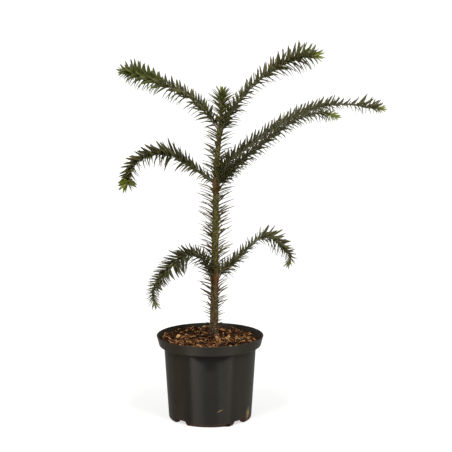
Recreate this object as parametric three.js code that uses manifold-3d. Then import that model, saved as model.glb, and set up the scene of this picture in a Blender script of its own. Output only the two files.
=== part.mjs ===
// A young monkey puzzle tree in a round nursery pot.
// Millimetres, +Z up. The origin lies on the ground, under the middle of the pot.

import * as THREE from "three";
import { mergeVertices } from "three/addons/utils/BufferGeometryUtils.js";
import Module from "manifold-3d";

const wasm = await Module();
wasm.setup();

// Driving dimensions

// Air left between two pieces that touch
const GAP = 0.3;

// The pot: a tapering wall under a wider rim band, on a ring of feet with drain notches between them
const POT = {
  height: 150,
  lipRadius: 95,
  lipRounding: 0.6,
  bandHeight: 19,
  bandFootRadius: 91,
  bandRounding: 4,
  shoulderRadius: 81.7,
  footRadius: 73.5,
  footWidth: 9,
  footDraft: 2,
  floorHeight: 7,
  wall: 1.5,
  centreFootRadius: 14,
  sides: 40,
};

const NOTCH = { count: 4, firstAngle: 45, height: 6.6, footWidth: 30, topWidth: 20, depth: 26 };

const SOIL = { top: 136 };

// Bark chips: a level bed with larger pieces standing out of it, open round the trunk
const MULCH = {
  bedTop: 141.5,
  bedRadius: 88.8,
  chips: 44,
  chipLength: [11, 19],
  chipWidth: [5, 9],
  chipThickness: [2.6, 4.4],
  chipTilt: 16,
  trunkHole: 10.4,
  trunkClear: 19,
  wallClear: 11,
  seed: 417,
};

// The tree stands a little behind and to the right of the pot's middle; heights below are from its foot
const TREE_FOOT = { x: 6.5, y: 20, z: SOIL.top + GAP };

const TRUNK = {
  height: 390,
  footRadius: 6.1,
  tipRadius: 2.3,
  flare: 3.4,
  flareHeight: 9,
  leanX: 0.0155,
  leanY: -0.011,
  sidestep: 7.5,
  sidestepFrom: 304,
  sidestepTo: 414,
  collars: [113, 281, 375],
  collarSwell: 1.9,
  collarHalfHeight: 7,
  ringSpacing: 15,
  sides: 8,
};

// Skins of leaf bases round the trunk, between the whorls of boughs
const TRUNK_FOLIAGE = [
  { name: "trunk_leaves_low", from: 18, to: 101, leaves: 22, leaf: 23, seed: 11 },
  { name: "trunk_leaves_middle", from: 125, to: 267, leaves: 36, leaf: 27, seed: 12 },
  { name: "trunk_leaves_upper", from: 294, to: 361, leaves: 20, leaf: 24, seed: 13 },
];
const TRUNK_SKIN = 0.8;

// Boughs. height: where the bough leaves the trunk's axis. pitch: rise in degrees at even steps from
// trunk to tip. heading: plan direction in degrees at even steps too, from +X towards +Y.
// bend: the share of the length at which the foliage is divided. leaf: length of its leaves.
const BOUGHS = [
  {
    name: "top_left",
    height: 376,
    length: 215,
    pitch: [50, 45, 28, 19, 17, 8],
    heading: [152, 160],
    bend: 0.52,
    leaf: 27,
  },
  {
    name: "top_right",
    height: 370,
    length: 242,
    pitch: [63, 55, 45, 34, 23, 1],
    heading: [-30, -24],
    bend: 0.52,
    leaf: 27,
  },
  {
    name: "middle_left",
    height: 282,
    length: 226,
    pitch: [36, 36, 37, 26, 5, -12, -23, -48, -16],
    heading: [186, 188, 194, 206, 222, 244, 272],
    bend: 0.55,
    leaf: 23,
  },
  {
    name: "middle_right_back",
    height: 282,
    length: 377,
    pitch: [72, 36, 30, 27, 18, 5, -8, -11],
    heading: [30, 20],
    bend: 0.5,
    leaf: 22,
  },
  {
    name: "middle_right_front",
    height: 277,
    length: 287,
    pitch: [49, 41, 37, 37, 37, 27, 12, -16],
    heading: [-38, -30],
    bend: 0.52,
    leaf: 23,
  },
  {
    name: "low_left",
    height: 110,
    length: 194,
    pitch: [49, 64, 46, 2, -35, -45, -54, -75, -113],
    heading: [218, 172],
    bend: 0.46,
    leaf: 22,
  },
  {
    name: "low_right",
    height: 113,
    length: 199,
    pitch: [37, 27, 37, 43, 39, 25, -26, -47, -48, -128],
    heading: [30, 12],
    bend: 0.6,
    leaf: 20,
  },
];
const BOUGH = {
  footRadius: 2.7,
  tipRadius: 1.3,
  bareLength: 19,
  sides: 5,
  ringSpacing: 18,
  steps: 96,
  seed: 101,
};

// The leader carries the trunk on to the tree's tip
const LEADER = {
  length: 49,
  pitch: [87, 87],
  heading: [-20, -20],
  footRadius: 3.0,
  tipRadius: 1.6,
  seed: 31,
};

// Leaves: stiff pointed blades set in a spiral all round the shoot
const LEAF = {
  spacing: 4.6,
  width: 7.4,
  thickness: 1.7,
  bellyOut: 5,
  incurve: 0.09,
  spread: 63,
  tipSpread: 24,
  tuftFrom: 0.93,
  tipLength: 0.75,
  endMargin: 3.2,
  turn: 137.508,
  turnJitter: 9,
  spreadJitter: 6,
  lengthJitter: 0.09,
  clear: 0.5,
};
const TRUNK_LEAF = { footLength: 10, fullFrom: 70, width: 6, spread: 66 };
const LEADER_LEAF = { spacing: 1.75, length: 25, width: 6.4, spread: 46 };

// Finishes, by the look of each piece
const FINISH = {
  pot: { color: 0x2c2b28, roughness: 0.5, metalness: 0 },
  soil: { color: 0x2f2219, roughness: 1, metalness: 0 },
  mulch: { color: 0x8a5732, roughness: 0.9, metalness: 0 },
  bark: { color: 0x6a5a42, roughness: 0.9, metalness: 0 },
  shoot: { color: 0x5d6430, roughness: 0.7, metalness: 0 },
  foliage: { color: 0x34451f, roughness: 0.5, metalness: 0 },
  youngFoliage: { color: 0x4a6b2a, roughness: 0.5, metalness: 0 },
};

// Helpers

function repeatable(seed) {
  const modulus = 2147483647;
  let state = seed;
  return () => {
    state = (state * 16807) % modulus;
    return state / modulus;
  };
}

function between([low, high], share) {
  return low + (high - low) * share;
}

function smoothstep(low, high, value) {
  const share = THREE.MathUtils.clamp((value - low) / (high - low), 0, 1);
  return share * share * (3 - 2 * share);
}

// A smooth curve through values set at even steps from 0 to 1
function along(values, share) {
  const last = values.length - 1;
  const place = THREE.MathUtils.clamp(share, 0, 1) * last;
  const i = Math.min(Math.floor(place), last - 1);
  const f = place - i;
  const [b, c] = [values[i], values[i + 1]];
  const [a, d] = [values[Math.max(i - 1, 0)], values[Math.min(i + 2, last)]];
  const slope = c - a;
  const curve = 2 * a - 5 * b + 4 * c - d;
  const twist = 3 * b - a - 3 * c + d;
  return b + 0.5 * f * (slope + f * (curve + f * twist));
}

// A closed geometry as a solid that can be joined and cut
function solidOf(geometry) {
  const bare = geometry.clone();
  bare.deleteAttribute("normal");
  bare.deleteAttribute("uv");
  const merged = mergeVertices(bare, 1e-4);
  const corners = merged.index.array;
  const triangles = [];
  for (let i = 0; i < corners.length; i += 3) {
    const [a, b, c] = [corners[i], corners[i + 1], corners[i + 2]];
    if (a !== b && b !== c && c !== a) triangles.push(a, b, c);
  }
  return new wasm.Manifold(
    new wasm.Mesh({
      numProp: 3,
      vertProperties: new Float32Array(merged.getAttribute("position").array),
      triVerts: new Uint32Array(triangles),
    })
  );
}

function joined(solids) {
  return solids.reduce((whole, solid) => whole.add(solid));
}

// The largest body of a solid, with any loose scrap dropped
function mainBody(solid) {
  const bodies = solid.decompose();
  return bodies.reduce((best, body) => (body.volume() > best.volume() ? body : best));
}

function meshOf(name, solid, finish) {
  const { vertProperties, triVerts } = mainBody(solid).getMesh();
  const geometry = new THREE.BufferGeometry();
  geometry.setAttribute("position", new THREE.BufferAttribute(vertProperties, 3));
  geometry.setIndex(new THREE.BufferAttribute(triVerts, 1));
  geometry.computeVertexNormals();
  const mesh = new THREE.Mesh(geometry, new THREE.MeshStandardMaterial(finish));
  mesh.name = name;
  return mesh;
}

// A turned body from an outline of [radius, height] points that starts and ends on the axis
function turned(outline, sides) {
  const points = outline.map(([radius, height]) => new THREE.Vector2(radius, height));
  return new THREE.LatheGeometry(points, sides).rotateX(Math.PI / 2);
}

function moveEach(geometry, place) {
  const position = geometry.getAttribute("position");
  const vertex = new THREE.Vector3();
  for (let i = 0; i < position.count; i += 1) {
    place(vertex.fromBufferAttribute(position, i));
    position.setXYZ(i, vertex.x, vertex.y, vertex.z);
  }
  return geometry;
}

// Pot, soil and bark chips

const bandFoot = POT.height - POT.bandHeight;
const wallDraft = (POT.shoulderRadius - POT.footRadius) / bandFoot;
const bandDraft = (POT.lipRadius - POT.bandFootRadius) / (POT.bandHeight - POT.bandRounding);

function wallRadius(height) {
  return POT.footRadius + wallDraft * height;
}

function bandRadius(height) {
  return POT.bandFootRadius + bandDraft * (height - bandFoot - POT.bandRounding);
}

// The rounded turn from the shoulder out to the band, drawn inset from the outer face
function bandTurn(inset, steps) {
  const radius = POT.bandRounding - inset;
  const points = [];
  for (let i = 0; i <= steps; i += 1) {
    const angle = (Math.PI / 2) * (i / steps - 1);
    points.push([
      POT.bandFootRadius - POT.bandRounding + radius * Math.cos(angle),
      bandFoot + POT.bandRounding + radius * Math.sin(angle),
    ]);
  }
  return points;
}

function potSolid() {
  const { height, wall, lipRadius, lipRounding, footRadius, footWidth, footDraft, floorHeight } = POT;
  const footInner = footRadius - footWidth;
  const outside = [
    [0, 0],
    [POT.centreFootRadius, 0],
    [POT.centreFootRadius + footDraft, floorHeight],
    [footInner - footDraft, floorHeight],
    [footInner, 0],
    [footRadius, 0],
    [wallRadius(bandFoot), bandFoot],
    ...bandTurn(0, 3),
    [lipRadius, height - lipRounding],
    [lipRadius - lipRounding, height],
  ];
  const inside = [
    [lipRadius - wall, height],
    ...bandTurn(wall, 3).reverse(),
    [wallRadius(bandFoot) - wall, bandFoot + wall],
    [wallRadius(wall) - wall, wall],
    [footInner + wall, wall],
    [footInner + wall - footDraft, floorHeight + wall],
    [0, floorHeight + wall],
  ];
  let pot = solidOf(turned([...outside, ...inside], POT.sides));
  for (let i = 0; i < NOTCH.count; i += 1) {
    pot = pot.subtract(notchSolid(NOTCH.firstAngle + (360 / NOTCH.count) * i));
  }
  return pot;
}

// A drain notch: a trapezoid that runs through the ring of feet, pointing outwards at the given angle
function notchSolid(angle) {
  const below = -2;
  const side = (NOTCH.footWidth - NOTCH.topWidth) / NOTCH.height / 2;
  const footHalf = NOTCH.footWidth / 2 - side * below;
  const shape = new THREE.Shape([
    new THREE.Vector2(-footHalf, below),
    new THREE.Vector2(footHalf, below),
    new THREE.Vector2(NOTCH.topWidth / 2, NOTCH.height),
    new THREE.Vector2(-NOTCH.topWidth / 2, NOTCH.height),
  ]);
  const block = new THREE.ExtrudeGeometry(shape, { depth: NOTCH.depth, bevelEnabled: false });
  block.rotateX(Math.PI / 2);
  block.rotateZ(Math.PI);
  block.translate(0, POT.footRadius - NOTCH.depth / 2, 0);
  block.rotateZ(THREE.MathUtils.degToRad(angle - 90));
  return solidOf(block);
}

function soilSolid() {
  const inset = POT.wall + GAP;
  const floor = POT.floorHeight + inset;
  return solidOf(
    turned(
      [
        [0, floor],
        [wallRadius(floor) - inset, floor],
        [wallRadius(bandFoot) - inset, bandFoot + inset],
        ...bandTurn(inset, 2),
        [bandRadius(SOIL.top) - inset, SOIL.top],
        [0, SOIL.top],
      ],
      POT.sides
    )
  );
}

function mulchSolid() {
  const random = repeatable(MULCH.seed);
  const bedFoot = SOIL.top + GAP;
  const pieces = [
    solidOf(
      turned(
        [
          [0, bedFoot],
          [MULCH.bedRadius, bedFoot],
          [MULCH.bedRadius, MULCH.bedTop],
          [0, MULCH.bedTop],
        ],
        POT.sides
      )
    ),
  ];
  const reach = MULCH.bedRadius - MULCH.wallClear;
  for (let i = 0; i < MULCH.chips; i += 1) {
    const radius = reach * Math.sqrt((i + 0.5) / MULCH.chips);
    const angle = THREE.MathUtils.degToRad(i * LEAF.turn);
    const [x, y] = [radius * Math.cos(angle), radius * Math.sin(angle)];
    const [long, wide, thick] = [MULCH.chipLength, MULCH.chipWidth, MULCH.chipThickness].map((range) =>
      between(range, random())
    );
    const tilts = [0, 1].map(() => THREE.MathUtils.degToRad(MULCH.chipTilt) * (2 * random() - 1));
    const heading = Math.PI * random();
    if (Math.hypot(x - TREE_FOOT.x, y - TREE_FOOT.y) < MULCH.trunkClear) continue;
    const chip = new THREE.BoxGeometry(long, wide, thick);
    chip.rotateX(tilts[0]).rotateY(tilts[1]).rotateZ(heading);
    chip.translate(x, y, MULCH.bedTop + thick / 4);
    pieces.push(solidOf(chip));
  }
  const hole = turned(
    [
      [0, SOIL.top],
      [MULCH.trunkHole, SOIL.top],
      [MULCH.trunkHole, POT.height],
      [0, POT.height],
    ],
    2 * TRUNK.sides
  );
  hole.translate(TREE_FOOT.x, TREE_FOOT.y, 0);
  return joined(pieces).subtract(solidOf(hole));
}

// Trunk

function trunkAxis(height) {
  const { leanX, leanY, sidestep, sidestepFrom, sidestepTo } = TRUNK;
  const x = leanX * height + sidestep * smoothstep(sidestepFrom, sidestepTo, height);
  return new THREE.Vector3(x, leanY * height, height);
}

function trunkRadius(height) {
  const taper = THREE.MathUtils.lerp(TRUNK.footRadius, TRUNK.tipRadius, height / TRUNK.height);
  const flare = TRUNK.flare * Math.exp(-height / TRUNK.flareHeight);
  const swell = TRUNK.collars.map((collar) => {
    const away = (height - collar) / TRUNK.collarHalfHeight;
    return Math.exp(-away * away);
  });
  return taper + flare + TRUNK.collarSwell * Math.max(...swell);
}

// Heights of the trunk's rings between two heights, closer where it flares or swells
function trunkRings(from, to) {
  const marks = [from, to, TRUNK.flareHeight / 2, TRUNK.flareHeight, ...TRUNK.collars];
  TRUNK_FOLIAGE.forEach((skin) => marks.push(skin.from, skin.to));
  for (let height = 0; height < TRUNK.height; height += TRUNK.ringSpacing) marks.push(height);
  const within = marks.filter((height) => height >= from && height <= to);
  return [...new Set(within)].sort((a, b) => a - b);
}

// The trunk's shape between two heights, grown outwards by a margin
function trunkShape(from, to, margin) {
  const rings = trunkRings(from, to).map((height) => [trunkRadius(height) + margin, height]);
  const body = turned([[0, from], ...rings, [0, to]], TRUNK.sides);
  return solidOf(moveEach(body, (vertex) => vertex.add(trunkAxis(vertex.z).setZ(0))));
}

// Boughs and leaves

// A limb's axis, worked out step by step from its pitch and heading
function limbAxis({ foot, length, pitch, heading }) {
  const step = length / BOUGH.steps;
  const frameAt = (distance) => {
    const share = distance / length;
    const rise = THREE.MathUtils.degToRad(along(pitch, share));
    const plan = THREE.MathUtils.degToRad(along(heading, share));
    const [level, climb] = [Math.cos(rise), Math.sin(rise)];
    return {
      ahead: new THREE.Vector3(level * Math.cos(plan), level * Math.sin(plan), climb),
      side: new THREE.Vector3(-Math.sin(plan), Math.cos(plan), 0),
      up: new THREE.Vector3(-climb * Math.cos(plan), -climb * Math.sin(plan), level),
    };
  };
  const points = [foot.clone()];
  for (let i = 0; i < BOUGH.steps; i += 1) {
    points.push(points[i].clone().addScaledVector(frameAt((i + 0.5) * step).ahead, step));
  }
  const pointAt = (distance) => {
    const place = THREE.MathUtils.clamp(distance / step, 0, BOUGH.steps);
    const i = Math.min(Math.floor(place), BOUGH.steps - 1);
    return points[i].clone().lerp(points[i + 1], place - i);
  };
  return { length, frameAt, pointAt };
}

// A limb's radius, by the distance from its foot
function taper({ footRadius, tipRadius }, length) {
  return (distance) => THREE.MathUtils.lerp(footRadius, tipRadius, distance / length);
}

// A tapering limb along an axis, between two distances from its foot
function limbSolid(axis, from, to, radiusAt) {
  const length = to - from;
  const rings = Math.max(1, Math.round(length / BOUGH.ringSpacing));
  const rod = new THREE.CylinderGeometry(1, 1, length, BOUGH.sides, rings);
  moveEach(rod, (vertex) => {
    const distance = from + vertex.y + length / 2;
    const { up, side } = axis.frameAt(distance);
    const radius = radiusAt(distance);
    const { x, z } = vertex;
    vertex.copy(axis.pointAt(distance)).addScaledVector(up, x * radius).addScaledVector(side, z * radius);
  });
  return solidOf(rod);
}

// One leaf: a flat spindle from the shoot's axis to its point, in eight faces, its tip curved forward
function leafSolid(leaf, margin) {
  const { root, ahead, outward, spread, length, width, belly } = leaf;
  const blade = new THREE.OctahedronGeometry(1);
  moveEach(blade, (vertex) => {
    const { x, y, z } = vertex;
    const isTip = x > 0.5;
    const isRoot = x < -0.5;
    vertex.x = isTip ? length + margin : isRoot ? 0 : belly;
    vertex.y = y * (width / 2 + margin);
    vertex.z = z * (LEAF.thickness / 2 + margin) + (isTip ? LEAF.incurve * length : 0);
  });
  const angle = THREE.MathUtils.degToRad(spread);
  const along = ahead.clone().multiplyScalar(Math.cos(angle)).addScaledVector(outward, Math.sin(angle));
  const across = ahead.clone().cross(outward);
  const inner = along.clone().cross(across);
  blade.applyMatrix4(new THREE.Matrix4().makeBasis(along, across, inner).setPosition(root));
  return solidOf(blade);
}

// Everything that a leaf has to stay clear of, each with the piece that it belongs to
const occupied = [];

function occupy(owner, solid) {
  occupied.push({ owner, solid, box: solid.boundingBox() });
}

function boxesMeet(a, b) {
  return [0, 1, 2].every((i) => a.min[i] <= b.max[i] && b.min[i] <= a.max[i]);
}

function isClear(owner, carrier, solid) {
  const box = solid.boundingBox();
  return occupied
    .filter((other) => other.owner !== owner && other.owner !== carrier && boxesMeet(box, other.box))
    .every((other) => other.solid.intersect(solid).isEmpty());
}

// Leaves set in a spiral along an axis; one that would touch a piece other than its carrier is left off
function leafSpiral({ name, carrier, axis, places, random, leafAt }) {
  const leaves = [];
  places.forEach((distance, i) => {
    const jitter = () => 2 * random() - 1;
    const turn = THREE.MathUtils.degToRad(LEAF.turn * i + LEAF.turnJitter * jitter());
    const { ahead, side, up } = axis.frameAt(distance);
    const outward = up.clone().multiplyScalar(Math.cos(turn)).addScaledVector(side, Math.sin(turn));
    const leaf = { root: axis.pointAt(distance), ahead, outward, ...leafAt(distance) };
    leaf.spread += LEAF.spreadJitter * jitter();
    leaf.length *= 1 + LEAF.lengthJitter * jitter();
    if (!isClear(name, carrier, leafSolid(leaf, LEAF.clear))) return;
    const blade = leafSolid(leaf, 0);
    occupy(name, blade);
    leaves.push(blade);
  });
  return leaves;
}

function evenPlaces(from, to, spacing) {
  const count = Math.floor((to - from) / spacing);
  return Array.from({ length: count + 1 }, (_, i) => from + i * spacing);
}

// The tree, piece by piece: limbs first, so that every leaf can be kept clear of them

const tree = new THREE.Group();
tree.position.set(TREE_FOOT.x, TREE_FOOT.y, TREE_FOOT.z);

const trunk = trunkShape(0, TRUNK.height, 0);
occupy("trunk", trunk);
tree.add(meshOf("trunk", trunk, FINISH.bark));

const trunkRoom = trunkShape(0, TRUNK.height, GAP);
const limbRoom = [trunkRoom];
const masses = [];

// A shoot: a tapering stem along a limb's axis, whose leaves close up and shorten towards the limb's tip
function addShoot({ name, axis, from, to, radiusAt, leafForm, seed, finish }) {
  const stem = limbSolid(axis, from, to, radiusAt);
  occupy(name, stem);
  const leafAt = (distance) => {
    const tuft = smoothstep(LEAF.tuftFrom, 1, distance / axis.length);
    return {
      length: leafForm.length * THREE.MathUtils.lerp(1, LEAF.tipLength, tuft),
      spread: THREE.MathUtils.lerp(leafForm.spread, LEAF.tipSpread, tuft),
      width: leafForm.width,
      belly: radiusAt(distance) + LEAF.bellyOut,
    };
  };
  const places = evenPlaces(from + LEAF.endMargin / 2, to - LEAF.endMargin, leafForm.spacing);
  masses.push({ name, stem, axis, places, random: repeatable(seed), leafAt, finish });
}

BOUGHS.forEach((bough, order) => {
  const axis = limbAxis({ foot: trunkAxis(bough.height), ...bough });
  const radiusAt = taper(BOUGH, bough.length);
  const limb = limbSolid(axis, 0, BOUGH.bareLength, radiusAt).subtract(trunkRoom);
  const limbName = `bough_${bough.name}`;
  occupy(limbName, limb);
  limbRoom.push(limbSolid(axis, 0, BOUGH.bareLength, (distance) => radiusAt(distance) + GAP));
  tree.add(meshOf(limbName, limb, FINISH.shoot));

  const bend = bough.bend * bough.length;
  const shoot = { axis, radiusAt, leafForm: { ...LEAF, length: bough.leaf } };
  addShoot({
    ...shoot,
    name: `foliage_${bough.name}_inner`,
    from: BOUGH.bareLength + GAP,
    to: bend,
    seed: BOUGH.seed + 2 * order,
    finish: FINISH.foliage,
  });
  addShoot({
    ...shoot,
    name: `foliage_${bough.name}_outer`,
    from: bend + GAP,
    to: bough.length,
    seed: BOUGH.seed + 2 * order + 1,
    finish: FINISH.youngFoliage,
  });
});

addShoot({
  name: "leader_shoot",
  axis: limbAxis({ foot: trunkAxis(TRUNK.height), ...LEADER }),
  from: GAP,
  to: LEADER.length,
  radiusAt: taper(LEADER, LEADER.length),
  leafForm: LEADER_LEAF,
  seed: LEADER.seed,
  finish: FINISH.youngFoliage,
});

// A skin of leaf bases round the trunk, with its leaves, open along the middle where the trunk runs
function addTrunkLeaves({ name, from, to, leaves, leaf, seed }) {
  const stem = trunkShape(from, to, GAP + TRUNK_SKIN);
  occupy(name, stem.subtract(trunkRoom));
  const upright = {
    ahead: new THREE.Vector3(0, 0, 1),
    side: new THREE.Vector3(0, 1, 0),
    up: new THREE.Vector3(-1, 0, 0),
  };
  const leafAt = (height) => {
    const grown = smoothstep(0, TRUNK_LEAF.fullFrom, height);
    return {
      length: trunkRadius(height) + THREE.MathUtils.lerp(TRUNK_LEAF.footLength, leaf, grown),
      width: TRUNK_LEAF.width,
      spread: TRUNK_LEAF.spread,
      belly: trunkRadius(height) + LEAF.bellyOut,
    };
  };
  const last = to - LEAF.endMargin;
  masses.push({
    name,
    carrier: "trunk",
    stem,
    axis: { pointAt: trunkAxis, frameAt: () => upright },
    places: evenPlaces(from, last, (last - from) / leaves),
    random: repeatable(seed),
    leafAt,
    finish: FINISH.foliage,
  });
}

TRUNK_FOLIAGE.forEach(addTrunkLeaves);

masses.forEach((mass) => {
  const fused = joined([mass.stem, ...leafSpiral(mass)]);
  tree.add(meshOf(mass.name, mass.carrier ? fused.subtract(joined(limbRoom)) : fused, mass.finish));
});

// The whole object

const pottedTree = new THREE.Group();
pottedTree.name = "potted_monkey_puzzle_tree";
pottedTree.add(meshOf("pot", potSolid(), FINISH.pot));
pottedTree.add(meshOf("potting_soil", soilSolid(), FINISH.soil));
pottedTree.add(meshOf("bark_mulch", mulchSolid(), FINISH.mulch));
pottedTree.add(tree);

export default pottedTree;
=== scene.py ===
"""A young monkey puzzle tree in a round nursery pot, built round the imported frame."""

import math
from collections import namedtuple

import bpy
import numpy as np
from bpy.props import FloatProperty, FloatVectorProperty, IntProperty, PointerProperty
from mathutils import Matrix, Vector, noise


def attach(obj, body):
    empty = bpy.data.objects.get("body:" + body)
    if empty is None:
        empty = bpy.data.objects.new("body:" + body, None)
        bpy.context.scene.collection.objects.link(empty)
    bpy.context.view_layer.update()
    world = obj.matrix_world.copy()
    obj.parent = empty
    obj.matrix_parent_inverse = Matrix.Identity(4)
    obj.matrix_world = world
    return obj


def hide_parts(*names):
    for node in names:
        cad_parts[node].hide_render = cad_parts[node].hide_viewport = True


bl_info = {
    "name": "Potted monkey puzzle tree",
    "version": (1, 0, 0),
    "blender": (4, 5, 0),
    "location": "3D View > Sidebar > Potted tree",
    "description": "Builds a young monkey puzzle tree in its nursery pot, and a studio stage for it",
    "category": "Add Mesh",
}

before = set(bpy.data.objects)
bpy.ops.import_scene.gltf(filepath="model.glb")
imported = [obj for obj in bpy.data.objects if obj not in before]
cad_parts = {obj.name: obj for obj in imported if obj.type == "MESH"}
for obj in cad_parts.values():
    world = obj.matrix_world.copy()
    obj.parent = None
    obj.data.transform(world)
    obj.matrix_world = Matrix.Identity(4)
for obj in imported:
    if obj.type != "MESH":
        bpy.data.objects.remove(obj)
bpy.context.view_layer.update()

MM = 0.001
BODY = "root"


# Settings


def linear(hex_colour):
    """An sRGB hex colour as a linear colour with full alpha."""
    channels = [int(hex_colour[i : i + 2], 16) / 255 for i in (1, 3, 5)]
    return [c / 12.92 if c <= 0.04045 else ((c + 0.055) / 1.055) ** 2.4 for c in channels] + [1.0]


def number(name, description, value, **options):
    return FloatProperty(name=name, description=description, default=value, **options)


def length(name, description, millimetres):
    options = {"min": 0.0, "precision": 4, "unit": "LENGTH", "subtype": "DISTANCE"}
    return number(name, description, millimetres * MM, **options)


def angle(name, description, degrees):
    return number(name, description, math.radians(degrees), unit="ROTATION", subtype="ANGLE")


def colour(name, description, hex_colour):
    options = {"size": 4, "min": 0.0, "max": 1.0, "subtype": "COLOR"}
    return FloatVectorProperty(name=name, description=description, default=linear(hex_colour), **options)


def lengths(group, *names):
    """Lengths out of a group of settings, in millimetres."""
    return [getattr(group, name) / MM for name in names]


class PotSettings(bpy.types.PropertyGroup):
    """Sizes and colours of the nursery pot"""

    height: length("Height", "Height of the pot over the ground", 150)
    lip_radius: length("Lip radius", "Outer radius of the lip", 95)
    lip_rounding: length("Lip rounding", "Radius of the rounded top of the lip", 1.4)
    band_height: length("Band height", "Height of the rim band", 19)
    band_foot_radius: length("Band foot radius", "Outer radius at the foot of the rim band", 91)
    band_rounding: length("Band rounding", "Radius of the turn under the rim band", 4)
    shoulder_radius: length("Shoulder radius", "Radius of the wall under the rim band", 81.7)
    foot_radius: length("Foot radius", "Radius of the wall at the ground", 73.5)
    foot_width: length("Foot width", "Width of the ring that the pot stands on", 9)
    foot_rounding: length("Foot rounding", "Radius of the wall's turn to the ground", 3)
    floor_height: length("Floor height", "Height of the raised floor over the ground", 7)
    centre_foot: length("Centre foot", "Radius of the foot under the middle of the floor", 14)
    wall: length("Wall", "Thickness of the wall", 1.5)
    notch_height: length("Notch height", "Height of the drain notches in the ring of feet", 6.6)
    notch_width: length("Notch width", "Width of a drain notch at the ground", 30)
    notch_top: length("Notch top", "Width of a drain notch at its top", 20)
    plastic: colour("Plastic", "Colour of the moulded plastic", "#13110d")
    # The dust colour also serves as painted warm reflection on one flank
    dust: colour("Dust", "Colour of the dry film on the plastic", "#28251e")
    # Painted warm reflection on one flank
    grime: colour("Grime", "Colour of the dust dried brown on one flank", "#261e13")
    splash: colour("Splash", "Colour of the dried splash of compost", "#86703f")
    mud: colour("Mud", "Colour of the wet soil on the feet", "#3b200f")


class MulchSettings(bpy.types.PropertyGroup):
    """Sizes and colours of the bark chips on the soil"""

    bed_foot: length("Bed foot", "Height of the underside of the bed of chips", 136.3)
    bed_top: length("Bed top", "Middle height of the bed's upper face", 141.2)
    bed_radius: length("Bed radius", "Radius of the bed of chips", 88.8)
    lump: length("Lump", "Height of the lumps in the bed", 2.2)
    heap: length("Heap", "Height of the chips heaped against the trunk", 6.5)
    heap_radius: length("Heap radius", "Distance over which the heap falls away", 16)
    chip_reach: length("Chip reach", "Radius within which chips are scattered", 86)
    trunk_room: length("Trunk room", "Distance of the chips from the middle of the trunk", 7)
    tilt: angle("Tilt", "Largest angle at which a chip lies to the bed", 45)
    seed: IntProperty(name="Seed", description="Seed of the scatter of the chips", default=417)
    # The compost's colour is darker than moist compost's own: painted shade in the gaps between the chips
    compost: colour("Compost", "Colour of the moist compost", "#110a06")


class TreeSettings(bpy.types.PropertyGroup):
    """Sizes and colours of the tree"""

    leaf_spacing: length("Leaf spacing", "Distance along a shoot from one leaf to the next", 0.95)
    leaf_width: length("Leaf width", "Width of a leaf", 4.6)
    leaf_thickness: length("Leaf thickness", "Depth of a leaf from margin to keel", 1.2)
    recurve: angle("Recurve", "Angle that a leaf bends outwards from foot to tip", 20)
    skin: length("Skin", "Thickness of the leaf bases on the trunk", 1.5)
    ridge: length("Ridge", "Height of the ridge that runs down from each leaf", 0.55)
    seed: IntProperty(name="Seed", description="Seed of the leaves' small differences", default=101)
    bark: colour("Bark", "Colour of the old bark at the trunk's foot", "#43341e")
    green_bark: colour("Green bark", "Colour of the young bark high on the trunk", "#62602a")
    collar_bark: colour("Collar bark", "Colour of the bark at the whorls", "#643d22")
    shoot: colour("Shoot", "Colour of the bough's skin", "#37381d")


class StageSettings(bpy.types.PropertyGroup):
    """The studio"""

    floor_size: length("Floor size", "Width of the floor", 60000)
    focal_length: number("Focal length", "Focal length of the camera in millimetres", 135.7)
    tilt: angle("Tilt", "Angle by which the camera looks down", 9.76)
    floor: colour("Floor", "Colour of the floor", "#a2a2a0")
    table: number("Table", "Strength of the light under the table", 0.65)
    sky: number("Sky", "Strength of the light from all round", 0.5)
    key: number("Key", "Strength of each of the two key lights", 1.8)
    strip: number("Strip", "Power of a strip light in watts", 40.0)


# The tree's rule, in millimetres, as in the part's source

TREE_FOOT = np.array([6.5, 20.0, 136.3])
GOLDEN_TURN = math.radians(137.508)
TRUNK = dict(
    height=390, foot_radius=6.1, tip_radius=2.3, flare=3.4, flare_height=9, lean=(0.0155, -0.011),
    sidestep=7.5, sidestep_from=304, sidestep_to=414,
    collars=(113, 281, 375), collar_swell=1.9, collar_half_height=7,
)
LIMB_STEPS = 96
BOUGH_RADII = (2.7, 1.3)
BOUGH_FLARE = 1.3
FLARE_LENGTH = 9
LEADER_RADII = (3.0, 1.6)

# Rules for the leaves of every shoot. leaf: lengths on the shoot, at even steps. under: lengths under it,
# where they differ. full: leaves for each step of the spiral, at even steps. spread: angle between shoot
# and leaf, on the shoot, at even steps. close: that angle under the shoot, and at its tip. wide: width
# against other leaves, on the shoot and under it. twist: turn of a leaf about itself, on the shoot and under
# it. recurve: bend against the setting. bends: degrees of bend added under the shoot, taken off on it, and
# taken off in its tuft. tuft: length of the tuft at its tip. stray: the most that chance adds to spread,
# bend and roll in degrees, and to the length as a share.

# keep: share of leaves left, at even steps up the trunk. dry: how many have dried, at even steps, from -1
# for none to 1 for all. first, last: room under the lowest leaf and over the highest. collar: half the
# height of a whorl's collar, and the share left on it. olive: share of the green ones in olive.
TRUNK_LEAVES = dict(
    leaf=(4, 13, 22, 26, 27, 28, 28, 27, 26, 24, 22), full=(1.25, 1.15, 1.0, 1.0, 1.0),
    spread=(58, 58), close=(58, 58), wide=(0.65, 0.65), twist=(0, 0),
    recurve=0.5, bends=(0, 0, 0), tuft=15, stray=(11, 12, 35, 0.2),
    keep=(0.9, 0.85, 0.8, 0.85, 0.95, 1.0, 1.0, 1.0, 0.95, 0.9, 0.9), dry=(0.5, 0.3, -0.2, -0.5, -0.6),
    first=20, last=4, collar=(6, 0.35), olive=0.35,
)
# Skins of leaves round the trunk, by the heights at which their nodes end
TRUNK_SKINS = {"trunk_leaves_low": 113, "trunk_leaves_middle": 281, "trunk_leaves_upper": 390}

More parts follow.
